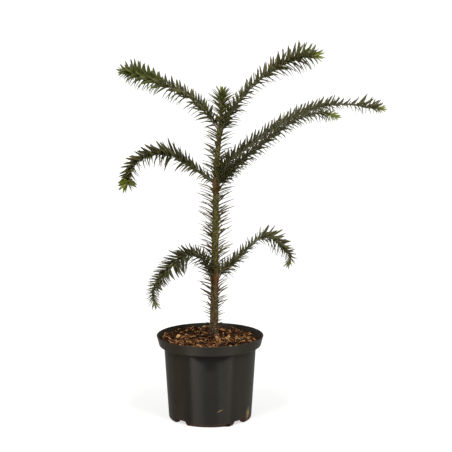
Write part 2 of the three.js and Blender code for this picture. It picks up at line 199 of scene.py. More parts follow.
# What all boughs share. blend: share of the length over which young leaves begin.
BOUGH_LEAVES = dict(recurve=1, bends=(8, 10, 12), tuft=15, stray=(5, 6, 14, 0.08), blend=0.08)
# height: where a bough leaves the trunk. bend: share of the length where its two masses meet. pitch: rise in
# degrees at even steps from trunk to tip. heading: plan direction at even steps. bare: share of the leaves
# that are missing under the shoot. tones: shares of leaves in the deepest green and in olive, partly painted
# shade and painted light: more deep green on shaded boughs, more olive on shoots in their own shade. young:
# share of the length from which leaves are young, and their kind. bright: length of the fresh tip.
BOUGHS = {
    "top_left": dict(
        height=376, length=215, bend=0.52, pitch=(50, 45, 28, 19, 17, 8), heading=(152, 160),
        leaf=(14, 18, 19, 19, 20, 22, 25, 27, 17), under=(20, 23, 23, 23, 23, 24, 24, 22, 14),
        full=(0.75, 0.75, 0.7, 0.7, 0.75, 0.8, 1.05, 1.25, 1.75),
        bare=0.15, spread=(42, 44, 50, 60), close=(54, 28), wide=(1.35, 0.8), twist=(52, 6),
        tones=(0.3, 0.0), young=(0.64, "leaves_young"), bright=0,
    ),
    "top_right": dict(
        height=370, length=242, bend=0.52, pitch=(63, 55, 45, 34, 23, 1), heading=(-30, -24),
        leaf=(14, 17, 17, 18, 20, 23, 26, 26, 17), under=(27, 24, 19, 17, 18, 22, 25, 24, 15),
        full=(1.5, 1.4, 1.05, 0.75, 0.7, 0.75, 1.0, 1.25, 1.4),
        bare=0.15, spread=(44, 45, 50, 58), close=(50, 20), wide=(0.9, 0.75), twist=(-24, 0),
        tones=(0.0, 0.3), young=(0.92, "leaves_young"), bright=8,
    ),
    "middle_left": dict(
        height=282, length=226, bend=0.55, pitch=(36, 36, 37, 26, 5, -12, -23, -48, -16),
        heading=(186, 188, 194, 206, 222, 244, 272),
        leaf=(13, 15, 20, 30, 26, 22, 20, 20, 18), under=(10, 11, 16, 24, 22, 17, 15, 14, 16),
        full=(0.85, 0.85, 0.85, 0.75, 0.75, 0.75, 0.8, 0.9, 1.6),
        bare=0.2, spread=(38, 38), close=(60, 52), wide=(1.2, 1.2), twist=(16, 50),
        tones=(0.6, 0.1), young=(0.88, "leaves_bud"), bright=0,
    ),
    "middle_right_back": dict(
        height=282, length=377, bend=0.5, pitch=(72, 36, 30, 27, 18, 5, -8, -11), heading=(30, 20),
        leaf=(19, 21, 20, 19, 19, 18, 18, 18, 18, 19, 19, 17, 12, 23, 22, 11),
        under=(15, 16, 15, 14, 14, 14, 14, 14, 14, 14, 14, 13, 8, 15, 12, 9),
        full=(1.7, 1.5, 1.05, 0.85, 0.8, 0.85, 0.9, 0.95, 0.95, 0.9, 0.9, 0.8, 0.5, 0.55, 0.65, 1.7),
        bare=0.1, spread=(42, 42, 48, 55), close=(50, 16), wide=(0.9, 0.75), twist=(26, 0),
        tones=(1.0, 0.0), young=(0.95, "leaves_young"), bright=11,
    ),
    "middle_right_front": dict(
        height=277, length=287, bend=0.52, pitch=(49, 41, 37, 37, 37, 27, 12, -16), heading=(-38, -30),
        leaf=(19, 21, 21, 20, 19, 18, 16, 14, 13, 12), under=(15, 16, 16, 15, 15, 16, 16, 15, 15, 10),
        full=(1.8, 1.6, 1.1, 0.9, 0.85, 0.85, 0.9, 0.85, 0.85, 2.2),
        bare=0.0, spread=(42, 42, 46, 50), close=(50, 18), wide=(0.9, 0.75), twist=(10, 0),
        tones=(0.4, 0.05), young=(0.94, "leaves_young"), bright=12,
    ),
    "low_left": dict(
        height=110, length=194, bend=0.46, pitch=(49, 64, 46, 2, -35, -45, -54, -75, -113),
        heading=(218, 172),
        leaf=(14, 16, 16, 17, 20, 23, 22, 19, 16, 13, 14),
        under=(16, 18, 20, 23, 28, 27, 21, 17, 14, 13, 14),
        full=(0.95, 1.15, 1.4, 1.5, 1.4, 1.25, 1.25, 1.35, 1.5, 1.5, 1.8),
        bare=0.45, spread=(50, 50), close=(58, 24), wide=(0.85, 0.95), twist=(28, 60),
        tones=(0.9, 0.0), young=(0.97, "leaves_young"), bright=0,
    ),
    "low_right": dict(
        height=113, length=199, bend=0.6, pitch=(37, 27, 37, 43, 39, 25, -26, -47, -48, -128),
        heading=(30, 12),
        leaf=(16, 20, 19, 18, 16, 13, 24, 23, 17, 13, 12),
        under=(17, 18, 14, 12, 10, 10, 20, 24, 17, 11, 11),
        full=(0.95, 1.05, 1.0, 0.95, 0.85, 0.8, 0.9, 0.9, 0.9, 1.1, 1.6),
        bare=0.1, spread=(44, 48), close=(50, 24), wide=(0.92, 0.85), twist=(30, 20),
        tones=(0.75, 0.0), young=(0.93, "leaves_young"), bright=0,
    ),
}
# As for a bough, and first: where its leaves begin, below its foot. spacing: against a bough's. fresh: share
# of bright leaves at its tip.
LEADER = dict(
    length=49, pitch=(87, 87), heading=(-20, -20), first=-4, spacing=0.62,
    leaf=(18, 22, 26, 27, 17), full=(0.6, 0.65, 0.75, 1.0, 1.3),
    spread=(50, 50), close=(50, 16), wide=(1, 1), twist=(0, 0),
    recurve=1, bends=(0, 0, 12), tuft=12.25, stray=(6, 7, 14, 0.08),
    # Olive on the leader is partly painted light on leaves in their own shade
    tones=(0.0, 0.9), young=(0.6, "leaves_young"), blend=0.25, fresh=0.15,
)
# Length of a bough's foot that bears no leaves, and room left at a tip
BARE_FOOT = 11
TIP_ROOM = 0.5
# How far down a leaf points to lie under its shoot, against 1 for straight up
UNDERSIDE = -0.3


def smoothstep(low, high, value):
    share = np.clip((np.asarray(value, float) - low) / (high - low), 0, 1)
    return share * share * (3 - 2 * share)


def along(values, share):
    """A smooth curve through values set at even steps from 0 to 1."""
    values = np.asarray(values, float)
    last = len(values) - 1
    place = np.clip(np.asarray(share, float), 0, 1) * last
    i = np.minimum(place.astype(int), last - 1)
    f = place - i
    b = values[i]
    c = values[i + 1]
    a = values[np.maximum(i - 1, 0)]
    d = values[np.minimum(i + 2, last)]
    slope = c - a
    curve = 2 * a - 5 * b + 4 * c - d
    twist = 3 * b - a - 3 * c + d
    return b + 0.5 * f * (slope + f * (curve + f * twist))


def trunk_axis(height):
    height = np.asarray(height, float)
    step = TRUNK["sidestep"] * smoothstep(TRUNK["sidestep_from"], TRUNK["sidestep_to"], height)
    lean_x, lean_y = TRUNK["lean"]
    return np.stack([lean_x * height + step, lean_y * height, height], -1)


def trunk_radius(height):
    height = np.asarray(height, float)
    taper = TRUNK["foot_radius"] + (TRUNK["tip_radius"] - TRUNK["foot_radius"]) * height / TRUNK["height"]
    flare = TRUNK["flare"] * np.exp(-height / TRUNK["flare_height"])
    half = TRUNK["collar_half_height"]
    swell = [np.exp(-(((height - collar) / half) ** 2)) for collar in TRUNK["collars"]]
    return taper + flare + TRUNK["collar_swell"] * np.max(swell, axis=0)


class Trunk:
    """The trunk's axis, with an upright frame all the way, and its radius with the skin of leaf bases"""

    length = TRUNK["height"]

    def __init__(self, skin):
        self.skin = skin

    def points(self, distance):
        return trunk_axis(distance)

    def frames(self, distance):
        ones = np.ones((len(distance), 1))
        return ones * [0, 0, 1], ones * [0, 1, 0], ones * [-1, 0, 0]

    def radius(self, distance):
        return trunk_radius(distance) + self.skin


class Limb:
    """A limb's axis, worked out step by step from its pitch and heading, and its tapering radius"""

    def __init__(self, height, rule, radii, flare=0.0):
        self.length = rule["length"]
        self.rule = rule
        self.radii = radii
        self.flare = flare
        foot = trunk_axis(height)
        step = self.length / LIMB_STEPS
        ahead = self.frames((np.arange(LIMB_STEPS) + 0.5) * step)[0]
        self.marks = np.arange(LIMB_STEPS + 1) * step
        self.path = np.vstack([foot, foot + np.cumsum(ahead * step, axis=0)])

    def frames(self, distance):
        share = distance / self.length
        rise = np.radians(along(self.rule["pitch"], share))
        plan = np.radians(along(self.rule["heading"], share))
        level = np.cos(rise)
        climb = np.sin(rise)
        ahead = np.stack([level * np.cos(plan), level * np.sin(plan), climb], -1)
        side = np.stack([-np.sin(plan), np.cos(plan), np.zeros_like(plan)], -1)
        up = np.stack([-climb * np.cos(plan), -climb * np.sin(plan), level], -1)
        return ahead, side, up

    def points(self, distance):
        return np.stack([np.interp(distance, self.marks, self.path[:, k]) for k in range(3)], -1)

    def radius(self, distance):
        foot, tip = self.radii
        return foot + (tip - foot) * distance / self.length + self.flare * np.exp(-distance / FLARE_LENGTH)


# Making pieces


def join(tree, value, socket):
    """Sets a socket, or links it to another node's output. A node stands for its first output in use."""
    if isinstance(value, bpy.types.Node):
        value = next(output for output in value.outputs if output.enabled)
    if isinstance(value, bpy.types.NodeSocket):
        tree.links.new(value, socket)
    else:
        socket.default_value = value


def add_node(tree, kind, inputs=None, **options):
    """Adds a node with its settings, and joins its inputs."""
    node = tree.nodes.new(kind)
    for name, value in options.items():
        setattr(node, name, value)
    for name, value in (inputs or {}).items():
        join(tree, value, node.inputs[name])
    return node


def node_group(name, inputs, output):
    """A Geometry Nodes tree that makes one geometry, and the sockets of its named inputs."""
    tree = bpy.data.node_groups.new(name, "GeometryNodeTree")
    for label, kind in inputs.items():
        tree.interface.new_socket(label, in_out="INPUT", socket_type=f"NodeSocket{kind}")
    tree.interface.new_socket(output, in_out="OUTPUT", socket_type="NodeSocketGeometry")
    return tree, add_node(tree, "NodeGroupInput").outputs


def finished(obj, slot, *nodes):
    """Puts a piece on its body, in the place of its CAD nodes. Its slot is not used."""
    if not obj.data.polygons:
        raise RuntimeError(f"{obj.name} has no faces")
    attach(obj, BODY)
    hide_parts(*nodes)


def place_object(name, data):
    """A new object in the scene, at the origin."""
    obj = bpy.data.objects.new(name, data)
    bpy.context.scene.collection.objects.link(obj)
    return obj


def mesh_object(name, points, faces, material=None):
    """An object at the origin, with its place in its mesh. Points are in millimetres."""
    mesh = bpy.data.meshes.new(name)
    mesh.from_pydata((np.asarray(points) * MM).tolist(), [], faces)
    mesh.validate()
    if material:
        mesh.materials.append(material)
    return place_object(name, mesh)


def settle(obj):
    """Turns an object with its modifiers into a plain mesh."""
    depsgraph = bpy.context.evaluated_depsgraph_get()
    mesh = bpy.data.meshes.new_from_object(obj.evaluated_get(depsgraph))
    old = obj.data
    obj.modifiers.clear()
    obj.data = mesh
    bpy.data.meshes.remove(old)
    mesh.name = obj.name
    return mesh


def grow(obj, tree, **values):
    """Runs a Geometry Nodes tree with its inputs set by identifier, and keeps the plain mesh."""
    modifier = obj.modifiers.new(tree.name, "NODES")
    modifier.node_group = tree
    for item in tree.interface.items_tree:
        if item.in_out == "INPUT" and item.name in values:
            modifier[item.identifier] = values[item.name]
    return settle(obj)


def smooth(mesh, sharp_degrees):
    mesh.shade_smooth()
    mesh.set_sharp_from_angle(angle=math.radians(sharp_degrees))


def ring_faces(first, rings, sides):
    """Quads between rings of points that run anticlockwise, facing outwards."""
    faces = []
    for j in range(rings - 1):
        low = first + j * sides
        for i in range(sides):
            k = (i + 1) % sides
            faces.append((low + i, low + k, low + sides + k, low + sides + i))
    return faces


def tube_faces(first, rings, sides):
    """Faces of a tube of such rings, with both ends closed."""
    foot = tuple(reversed(range(first, first + sides)))
    tip = tuple(range(first + (rings - 1) * sides, first + rings * sides))
    return [*ring_faces(first, rings, sides), foot, tip]


def fan_faces(first, sides, tip):
    """Triangles from a ring of points to one point beyond it, facing outwards."""
    return [(first + i, first + (i + 1) % sides, tip) for i in range(sides)]


def flipped(faces):
    return [tuple(reversed(face)) for face in faces]


# Materials

MIX_FACTOR = 0
MIX_FIRST = 6
MIX_SECOND = 7
SPECULAR = "Specular IOR Level"
# Specular level of dry, fibrous or crumbly matter, which hardly shines
DULL = {SPECULAR: 0.04}


def new_material(name, values=None):
    """A material with even values on its shader's sockets, its node tree and that shader."""
    material = bpy.data.materials.new(name)
    material.use_nodes = True
    tree = material.node_tree
    shader = tree.nodes["Principled BSDF"]
    for socket, value in (values or {}).items():
        shader.inputs[socket].default_value = value
    return material, tree, shader


def object_place(tree):
    return add_node(tree, "ShaderNodeTexCoord").outputs["Object"]


def patches(tree, patch, low, high, stretch=(1, 1, 1), detail=4.0):
    """Soft patches about as wide as patch, in millimetres, from 0 to 1."""
    placed = add_node(tree, "ShaderNodeMapping", {"Vector": object_place(tree), "Scale": stretch})
    pattern = {"Vector": placed, "Scale": 1 / (patch * MM), "Detail": detail, "Roughness": 0.6}
    spots = add_node(tree, "ShaderNodeTexNoise", pattern)
    return add_node(tree, "ShaderNodeMapRange", {"Value": spots, "From Min": low, "From Max": high})


def between(tree, low, high, axis="Z"):
    """A share that goes smoothly from 0 to 1 between two places on an axis, in millimetres."""
    parts = add_node(tree, "ShaderNodeSeparateXYZ", {"Vector": object_place(tree)}).outputs
    span = {"Value": parts[axis], "From Min": low * MM, "From Max": high * MM}
    return add_node(tree, "ShaderNodeMapRange", span, interpolation_type="SMOOTHSTEP")


def near(tree, centre, radius, edge, tall=1.0):
    """A share that is 1 inside a ball, or a taller egg, and falls to 0 over its edge, in millimetres."""
    squash = {"Vector": object_place(tree), "Scale": (1, 1, 1 / tall)}
    placed = add_node(tree, "ShaderNodeMapping", squash)
    middle = (centre[0] * MM, centre[1] * MM, centre[2] * MM / tall)
    away = add_node(tree, "ShaderNodeVectorMath", {0: placed, 1: middle}, operation="DISTANCE")
    fall = {"From Min": radius * MM, "From Max": (radius + edge) * MM, "To Min": 1.0, "To Max": 0.0}
    return add_node(tree, "ShaderNodeMapRange", {"Value": away.outputs["Value"], **fall})


def times(tree, first, second):
    return add_node(tree, "ShaderNodeMath", {0: first, 1: second}, operation="MULTIPLY")


def larger(tree, first, second):
    return add_node(tree, "ShaderNodeMath", {0: first, 1: second}, operation="MAXIMUM")


def mixed(tree, share, first, second):
    colours = {MIX_FACTOR: share, MIX_FIRST: first, MIX_SECOND: second}
    return add_node(tree, "ShaderNodeMix", colours, data_type="RGBA")


def set_finish(tree, shader, base, roughness, bump=None, bump_height=0.0):
    """Links a colour, a range of roughness with what drives it, and a bump height in millimetres."""
    share, low, high = roughness
    spread = add_node(tree, "ShaderNodeMapRange", {"Value": share, "To Min": low, "To Max": high})
    join(tree, base, shader.inputs["Base Color"])
    join(tree, spread, shader.inputs["Roughness"])
    if bump:
        relief = add_node(tree, "ShaderNodeBump", {"Height": bump, "Distance": bump_height * MM})
        join(tree, relief, shader.inputs["Normal"])


# Where the pot's finish changes, in millimetres: across it, up it, and at two spots
# The right flank's dust colour is partly painted warm reflection
RIGHT_REFLECTION_FLANK = (20, 58)
# The left flank's brown tint is painted warm reflection
LEFT_REFLECTION_FLANK = (-22, -58)
DULL_FLANKS = ((46, 72), (-46, -72))
WET_HEIGHTS = (9, 1)
WET_SPOT = (60, -44, 3)
SMEAR_SPOT = (67, -32.5, 14.5)
# Where the bark's finish changes, in millimetres up the trunk, with painted shade at the foot, and how far
# rust lies under a collar's middle
FOOT_SHADE_HEIGHTS = np.array([46, 5])
GREEN_HEIGHTS = np.array([90, 165])
RUST_DROP = 3


def moulded_polypropylene(pot):
    """Black polypropylene from a turned mould: fine rings draw its sheen upright, under a film of dust, with
    painted warm reflection on its flanks.
    """
    sheen = {"IOR": 1.49, SPECULAR: 0.15, "Anisotropic": 1.0}
    material, tree, shader = new_material("polypropylene_moulded_black", sheen)
    film = patches(tree, 34, 0.42, 0.72, (1, 1, 0.45))
    band_foot = (pot.height - pot.band_height) / MM
    rim = between(tree, band_foot - 1, band_foot + 1)
    # Dry dust lies thickest on the rim band; the same colour on one flank is painted warm reflection
    dust_and_reflection = larger(tree, times(tree, rim, 0.7), between(tree, *RIGHT_REFLECTION_FLANK, "X"))
    base = mixed(tree, larger(tree, times(tree, film, 0.3), dust_and_reflection), pot.plastic, pot.dust)
    # Painted warm reflection: brown, upright streaks on the other flank
    left_reflection = times(tree, between(tree, *LEFT_REFLECTION_FLANK, "X"), patches(tree, 20, 0.15, 0.7, (1, 1, 0.3)))
    base = mixed(tree, left_reflection, base, pot.grime)
    # Watering has left dried compost low on one side
    smear = times(tree, near(tree, SMEAR_SPOT, 1.5, 6.5, tall=1.8), patches(tree, 4, 0.34, 0.54))
    base = mixed(tree, smear, base, pot.splash)
    # Wet soil clings to the feet
    wet = larger(tree, between(tree, *WET_HEIGHTS), near(tree, WET_SPOT, 5, 9))
    base = mixed(tree, times(tree, wet, patches(tree, 9, 0.38, 0.54)), base, pot.mud)
    # The real grain is about 0.2 mm; it is drawn at 0.9 mm to show
    grain = patches(tree, 0.9, 0.3, 0.7, detail=2.0)
    # The rim band is duller than the wall, where hands have rubbed it, and so are the flanks
    flanks = larger(tree, *[between(tree, *flank, "X") for flank in DULL_FLANKS])
    dull = larger(tree, times(tree, film, 0.25), larger(tree, rim, flanks))
    set_finish(tree, shader, base, (dull, 0.42, 0.74), grain, 0.01)
    join(tree, add_node(tree, "ShaderNodeCombineXYZ", {"Z": 1.0}), shader.inputs["Tangent"])
    return material


def moist_compost(mulch):
    """Peat compost, sieved and moist, in crumbs, with its colour darkened to paint the shade in the gaps
    between the chips.
    """
    material, tree, shader = new_material("compost_sieved_moist", DULL)
    crumbs = patches(tree, 3, 0.35, 0.7)
    base = mixed(tree, crumbs, mulch.compost, linear("#2b1c10"))
    set_finish(tree, shader, base, (crumbs, 0.75, 0.95), patches(tree, 1.6, 0.2, 0.8), 0.6)
    return material


def shredded_bark(name, first, second):
    """Conifer bark, shredded: fibres and cork in warm browns, dry and dull."""
    material, tree, shader = new_material(name, DULL)
    fibre = patches(tree, 1.6, 0.32, 0.68, (1, 1, 0.4))
    base = mixed(tree, fibre, linear(first), linear(second))
    set_finish(tree, shader, base, (fibre, 0.7, 0.9), fibre, 0.25)
    return material


def living_bark(tree_settings):
    """Living bark: grey brown and corky below, with painted shade at the foot, green above, rusty at the
    whorls.
    """
    material, tree, shader = new_material("bark_living_ringed", DULL)
    foot = TREE_FOOT[2]
    flecks = patches(tree, 2.6, 0.42, 0.66, (1, 1, 0.6))
    corky = mixed(tree, flecks, tree_settings.bark, linear("#5d4d30"))
    # Painted shade: the bark darkens towards the foot, which stands in the chips
    corky = mixed(tree, between(tree, *(foot + FOOT_SHADE_HEIGHTS)), corky, linear("#251b0f"))
    young = mixed(tree, flecks, tree_settings.green_bark, linear("#403c1c"))
    base = mixed(tree, between(tree, *(foot + GREEN_HEIGHTS)), corky, young)
    # Pale corky specks where old leaves have gone
    specks = patches(tree, 1.5, 0.58, 0.64, detail=1.0)
    base = mixed(tree, specks, base, linear("#957d62"))
    # Rust round the two lower collars, a little under their middle
    for collar in TRUNK["collars"][:2]:
        middle = TREE_FOOT + trunk_axis(collar - RUST_DROP)
        rust = times(tree, near(tree, middle, 8, 9), patches(tree, 5, 0.3, 0.52))
        base = mixed(tree, rust, base, tree_settings.collar_bark)
    set_finish(tree, shader, base, (flecks, 0.55, 0.8), patches(tree, 1.2, 0.25, 0.75), 0.25)
    return material


def shoot_skin(tree_settings):
    """The green skin of a shoot, made of the feet of its leaves: waxy, darker in the seams."""
    material, tree, shader = new_material("shoot_skin_waxy")
    seams = patches(tree, 3, 0.35, 0.65)
    base = mixed(tree, seams, tree_settings.shoot, linear("#454425"))
    set_finish(tree, shader, base, (seams, 0.45, 0.65), seams, 0.2)
    return material


def leaf_cuticle(name, first, second):
    """A stiff leaf under a thick waxy cuticle: a soft gloss over an even colour."""
    material, tree, shader = new_material(name, {"IOR": 1.45, SPECULAR: 0.16})
    tint = patches(tree, 14, 0.38, 0.62, detail=1.0)
    base = mixed(tree, tint, linear(first), linear(second))
    set_finish(tree, shader, base, (tint, 0.42, 0.55))
    return material


def opal_acrylic(stage):
    """Opal acrylic, cast, lit from below as a studio table is: an even white that softens every shadow."""
    glow = {SPECULAR: 0.0, "Emission Color": linear("#ffffff"), "Emission Strength": stage.table}
    material, tree, shader = new_material("acrylic_cast_opal", glow)
    haze = patches(tree, 40, 0.3, 0.7)
    base = mixed(tree, haze, stage.floor, linear("#9f9f9d"))
    set_finish(tree, shader, base, (haze, 0.9, 1.0))
    return material


# Pot

POT_SIDES = 256
NOTCH_ANGLES = (45, 135, 225, 315)
# Radii of the turns under the floor and under the rim band, in millimetres
FLOOR_TURN = 1.5
CREASE = 0.8
# Height up to which the wall has close rows, and from which it has wide ones
CLOSE_ROWS = 20
WIDE_ROWS = 26
# Width of the ledge under the rim band, and height of the first row over the band's turn
LEDGE = 3
BAND_ROW = 1.5
# Height up the wall to which a notch still lifts it, and width of the ring's inner flank
NOTCH_FADE = 15.0
INNER_FLANK = 0.5
# Drain holes: half their angle in degrees, distances from the ring's inner edge, greatest height
DRAIN_HALF_ANGLE = 4.5
DRAIN_EDGES = (2.2, 5.5)
DRAIN_TOP = 10


def arc(centre, radius, start, end, steps):
    """Points on a rounded turn, from one angle in degrees to another."""
    turns = np.radians(np.linspace(start, end, steps))
    return [(centre[0] + radius * math.cos(t), centre[1] + radius * math.sin(t)) for t in turns]


def pot_outline(pot):
    """The pot's outer skin, from the middle of its underside to the top of its lip, in millimetres."""
    height, band_height, rounding = lengths(pot, "height", "band_height", "band_rounding")
    band_edge, lip, lip_turn = lengths(pot, "band_foot_radius", "lip_radius", "lip_rounding")
    foot, foot_width, turn = lengths(pot, "foot_radius", "foot_width", "foot_rounding")
    shoulder, floor, centre_foot = lengths(pot, "shoulder_radius", "floor_height", "centre_foot")
    bend = FLOOR_TURN
    band_foot = height - band_height
    foot_inner = foot - foot_width
    draft = (shoulder - foot) / band_foot
    # Under the floor, from the centre foot to the ring of feet
    outline = [(radius, 0.0) for radius in np.linspace(0, centre_foot - bend, 4)]
    outline += arc((centre_foot - bend, bend), bend, -80, -10, 4)
    outline += arc((centre_foot + 2 * bend, floor - bend), bend, 170, 100, 4)
    flat = np.linspace(centre_foot + 4 * bend, foot_inner - 4 * bend, 5)
    outline += [(radius, floor) for radius in flat]
    outline += arc((foot_inner - 2 * bend, floor - bend), bend, 80, 10, 4)
    outline += arc((foot_inner + 1, bend), bend, 190, 260, 4)
    outline += [(radius, 0.0) for radius in np.linspace(foot_inner + 2, foot - turn, 4)]
    # The wall, with close rows where the notches lift it
    outline += arc((foot - turn, turn), turn, -75, 0, 6)
    rows = [*np.linspace(turn + 2, CLOSE_ROWS, 9), *np.linspace(WIDE_ROWS, band_foot - 1.5 * CREASE, 14)]
    outline += [(foot + draft * z, z) for z in rows]
    # The rim band and the lip
    outline += arc((shoulder + CREASE, band_foot - CREASE), CREASE, 170, 100, 4)
    outline += [(shoulder + LEDGE, band_foot)]
    outline += arc((band_edge - rounding, band_foot + rounding), rounding, -90, 0, 8)
    flare = (lip - band_edge) / (band_height - rounding)
    rows = np.linspace(band_foot + rounding + BAND_ROW, height - lip_turn, 7)
    outline += [(band_edge + flare * (z - band_foot - rounding), z) for z in rows]
    outline += arc((lip - lip_turn, height - lip_turn), lip_turn, 15, 90, 6)
    return np.array(outline)


def from_notch(turn):
    """Angle to the nearest notch, in degrees."""
    return np.min([np.abs((turn - notch + 180) % 360 - 180) for notch in NOTCH_ANGLES], axis=0)


def notch_rise(pot, turn):
    """How far the ring of feet is lifted at an angle round the pot, in millimetres."""
    radius, height, top, width = lengths(pot, "foot_radius", "notch_height", "notch_top", "notch_width")
    across = np.radians(from_notch(turn)) * radius
    return height * (1 - smoothstep(top / 2, width / 2, across))


class POTTED_TREE_OT_pot(bpy.types.Operator):
    """Build the nursery pot, with its rim band, ring of feet and drain notches"""

    bl_idname = "potted_tree.pot"
    bl_label = "Pot"

    def execute(self, context):
        pot = context.scene.potted_tree_pot
        outline = pot_outline(pot)
        turns = np.arange(POT_SIDES) * 360 / POT_SIDES
        angles = np.radians(turns)
        rise = notch_rise(pot, turns)
        ring = (pot.foot_radius - pot.foot_width) / MM
        rings = []
        for radius, z in outline:
            # A notch fades out up the wall, and at the floor
            top = NOTCH_FADE if radius > ring + INNER_FLANK else pot.floor_height / MM
            lifted = radius > ring - 4 * FLOOR_TURN and z < top
            level = rise + z * (1 - rise / top) if lifted else np.full(POT_SIDES, z)
            rings.append(np.stack([radius * np.cos(angles), radius * np.sin(angles), level], -1))
        # The first ring is the middle of the underside, one point
        points = np.vstack([rings[0][:1], *rings[1:]])
        faces = flipped(fan_faces(1, POT_SIDES, 0)) + ring_faces(1, len(outline) - 1, POT_SIDES)
        faces = [face for face in faces if not self.is_drain(ring, points[list(face)].mean(axis=0))]
        obj = mesh_object("nursery_pot", points, faces, moulded_polypropylene(pot))
        thick = obj.modifiers.new("Wall", "SOLIDIFY")
        thick.thickness = pot.wall
        thick.offset = -1.0
        thick.use_even_offset = True
        smooth(settle(obj), sharp_degrees=40)
        finished(obj, "pot_plastic", "pot")
        return {"FINISHED"}

    @staticmethod
    def is_drain(ring, middle):
        """True for the middle of a face left open as a drain hole, in the roof of a notch."""
        x, y, z = middle
        inner, outer = DRAIN_EDGES
        in_ring = ring + inner < math.hypot(x, y) < ring + outer
        return in_ring and z < DRAIN_TOP and from_notch(math.degrees(math.atan2(y, x))) < DRAIN_HALF_ANGLE


# Scraps on the pot, in millimetres, with turns from the X axis in degrees

SLIVER_TURNS = (-80.4, -72.8)
SLIVER_HEIGHTS = (27.6, 32.2)
SLIVER_BOW = 0.6
SLIVER_HALF_WIDTH = 0.55
SLIVER_FLATNESS = 0.4
# Part of a half sine that its width follows
SLIVER_TAPER = (0.12, 0.92)
SLIVER_LIFT = 0.35
SLIVER_ROWS = 9
SLIVER_SIDES = 5
CLOD_TURN = -64.5
CLOD_SUNK = 0.6
CLOD_HEIGHT = 2.6
# Half its size along the wall, across it and upwards
CLOD_SIZE = (5.4, 2.4, 3.4)
CLOD_LUMPS = 0.45
CLOD_LUMP_RATE = 1.7
# Fractal noise: how fast it falls off, step from scale to scale, number of scales
CLOD_FRACTAL = (0.8, 2.0, 3)
CLOD_NOISE_PLACE = (0, 0, 5.3)
CLOD_ROWS = 9
CLOD_SIDES = 16
GROUND_CLEAR = 0.05


class POTTED_TREE_OT_scraps(bpy.types.Operator):
    """Build the sliver of bark and the clod of compost that cling to the pot"""

    bl_idname = "potted_tree.scraps"
    bl_label = "Scraps on the pot"

    def execute(self, context):
        pot = context.scene.potted_tree_pot
        self.sliver(pot, shredded_bark("bark_splinter_dry", "#826c43", "#a48d5b"))
        self.clod(pot, moist_compost(context.scene.potted_tree_mulch))
        return {"FINISHED"}

    @staticmethod
    def sliver(pot, material):
        """A dry sliver stuck on the wall, aslant."""
        share = np.linspace(0, 1, SLIVER_ROWS)
        turn = np.radians(np.interp(share, (0, 1), SLIVER_TURNS))
        z = np.interp(share, (0, 1), SLIVER_HEIGHTS) + SLIVER_BOW * np.sin(share * math.pi)
        draft = (pot.shoulder_radius - pot.foot_radius) / (pot.height - pot.band_height)
        radius = pot.foot_radius / MM + draft * z + SLIVER_LIFT
        half = SLIVER_HALF_WIDTH * np.sin(math.pi * np.interp(share, (0, 1), SLIVER_TAPER))
        points = []
        for i in range(SLIVER_ROWS):
            outward = np.array([math.cos(turn[i]), math.sin(turn[i]), 0])
            for k in range(SLIVER_SIDES):
                a = math.tau * k / SLIVER_SIDES
                lift = SLIVER_FLATNESS * half[i] * math.cos(a)
                points.append(outward * (radius[i] + lift) + [0, 0, z[i] + half[i] * math.sin(a)])
        obj = mesh_object("pot_bark_sliver", points, tube_faces(0, SLIVER_ROWS, SLIVER_SIDES), material)
        finished(obj, "bark_chips")

    @staticmethod
    def clod(pot, material):
        """A clod of compost pressed out of a drain hole, against the edge of a foot."""
        turn = math.radians(CLOD_TURN)
        outward = np.array([math.cos(turn), math.sin(turn), 0])
        along_wall = np.array([-math.sin(turn), math.cos(turn), 0])
        long, deep, tall = CLOD_SIZE
        axes = np.array([long * along_wall, -deep * outward, [0, 0, tall]])
        middle = outward * (pot.foot_radius / MM - CLOD_SUNK) + [0, 0, CLOD_HEIGHT]
        points = []
        for j in range(CLOD_ROWS):
            lift = math.pi * (j + 0.5) / CLOD_ROWS
            for i in range(CLOD_SIDES):
                around = math.tau * i / CLOD_SIDES
                level = math.sin(lift)
                way = np.array([level * math.cos(around), level * math.sin(around), -math.cos(lift)])
                sample = Vector(CLOD_LUMP_RATE * way + CLOD_NOISE_PLACE)
                lump = 1 + CLOD_LUMPS * noise.fractal(sample, *CLOD_FRACTAL)
                place = middle + lump * (way @ axes)
                points.append((place[0], place[1], max(place[2], GROUND_CLEAR)))
        obj = mesh_object("pot_compost_clod", points, tube_faces(0, CLOD_ROWS, CLOD_SIDES), material)
        smooth(obj.data, sharp_degrees=60)
        finished(obj, "potting_compost")


# Soil and chips

BED_SIDES = 120
BED_RINGS = 33
# Width of the bed's lumps and their noise, then width of the cells that chips are scattered on
LUMP_WIDTH = 9
LUMP_FRACTAL = (0.7, 2.0, 3)
LUMP_NOISE_PLACE = 3.7
GROUND_STEP = 4.0
CHIP_ROWS = 7
# Least width of a chip's ends, and the part of a half sine that its width follows
CHIP_END = 0.65
CHIP_TAPER = (0.12, 0.88)
CHIP_CORNERS = ((-0.5, -0.5), (0.5, -0.5), (0.5, 0.5), (-0.5, 0.5))
SQUARE_CM = 1e-4
# name, length, width, thickness, bend and twist in degrees, unevenness
CHIP_FORMS = (
    ("curl", 14, 2.5, 0.8, 150, 40, 0.4),
    ("shaving", 19, 2.0, 0.7, 190, 130, 0.35),
    ("strip", 17, 2.1, 0.8, 70, 110, 0.4),
    ("flake", 10, 5.0, 1.2, 45, 30, 0.45),
    ("chunk", 8.5, 5.0, 3.4, 20, 30, 0.5),
    ("splinter", 17, 1.4, 1.0, 40, 60, 0.4),
    ("sliver", 12, 1.3, 0.9, 70, 80, 0.4),
    ("shred", 15, 1.7, 0.7, 110, 90, 0.4),
    ("fibre", 11, 1.1, 0.8, 90, 40, 0.4),
)
SHREDS = ("curl", "shaving", "strip", "splinter", "sliver", "shred", "fibre")
PALE_FORMS = ("sliver", "strip", "shred", "flake", "chunk")
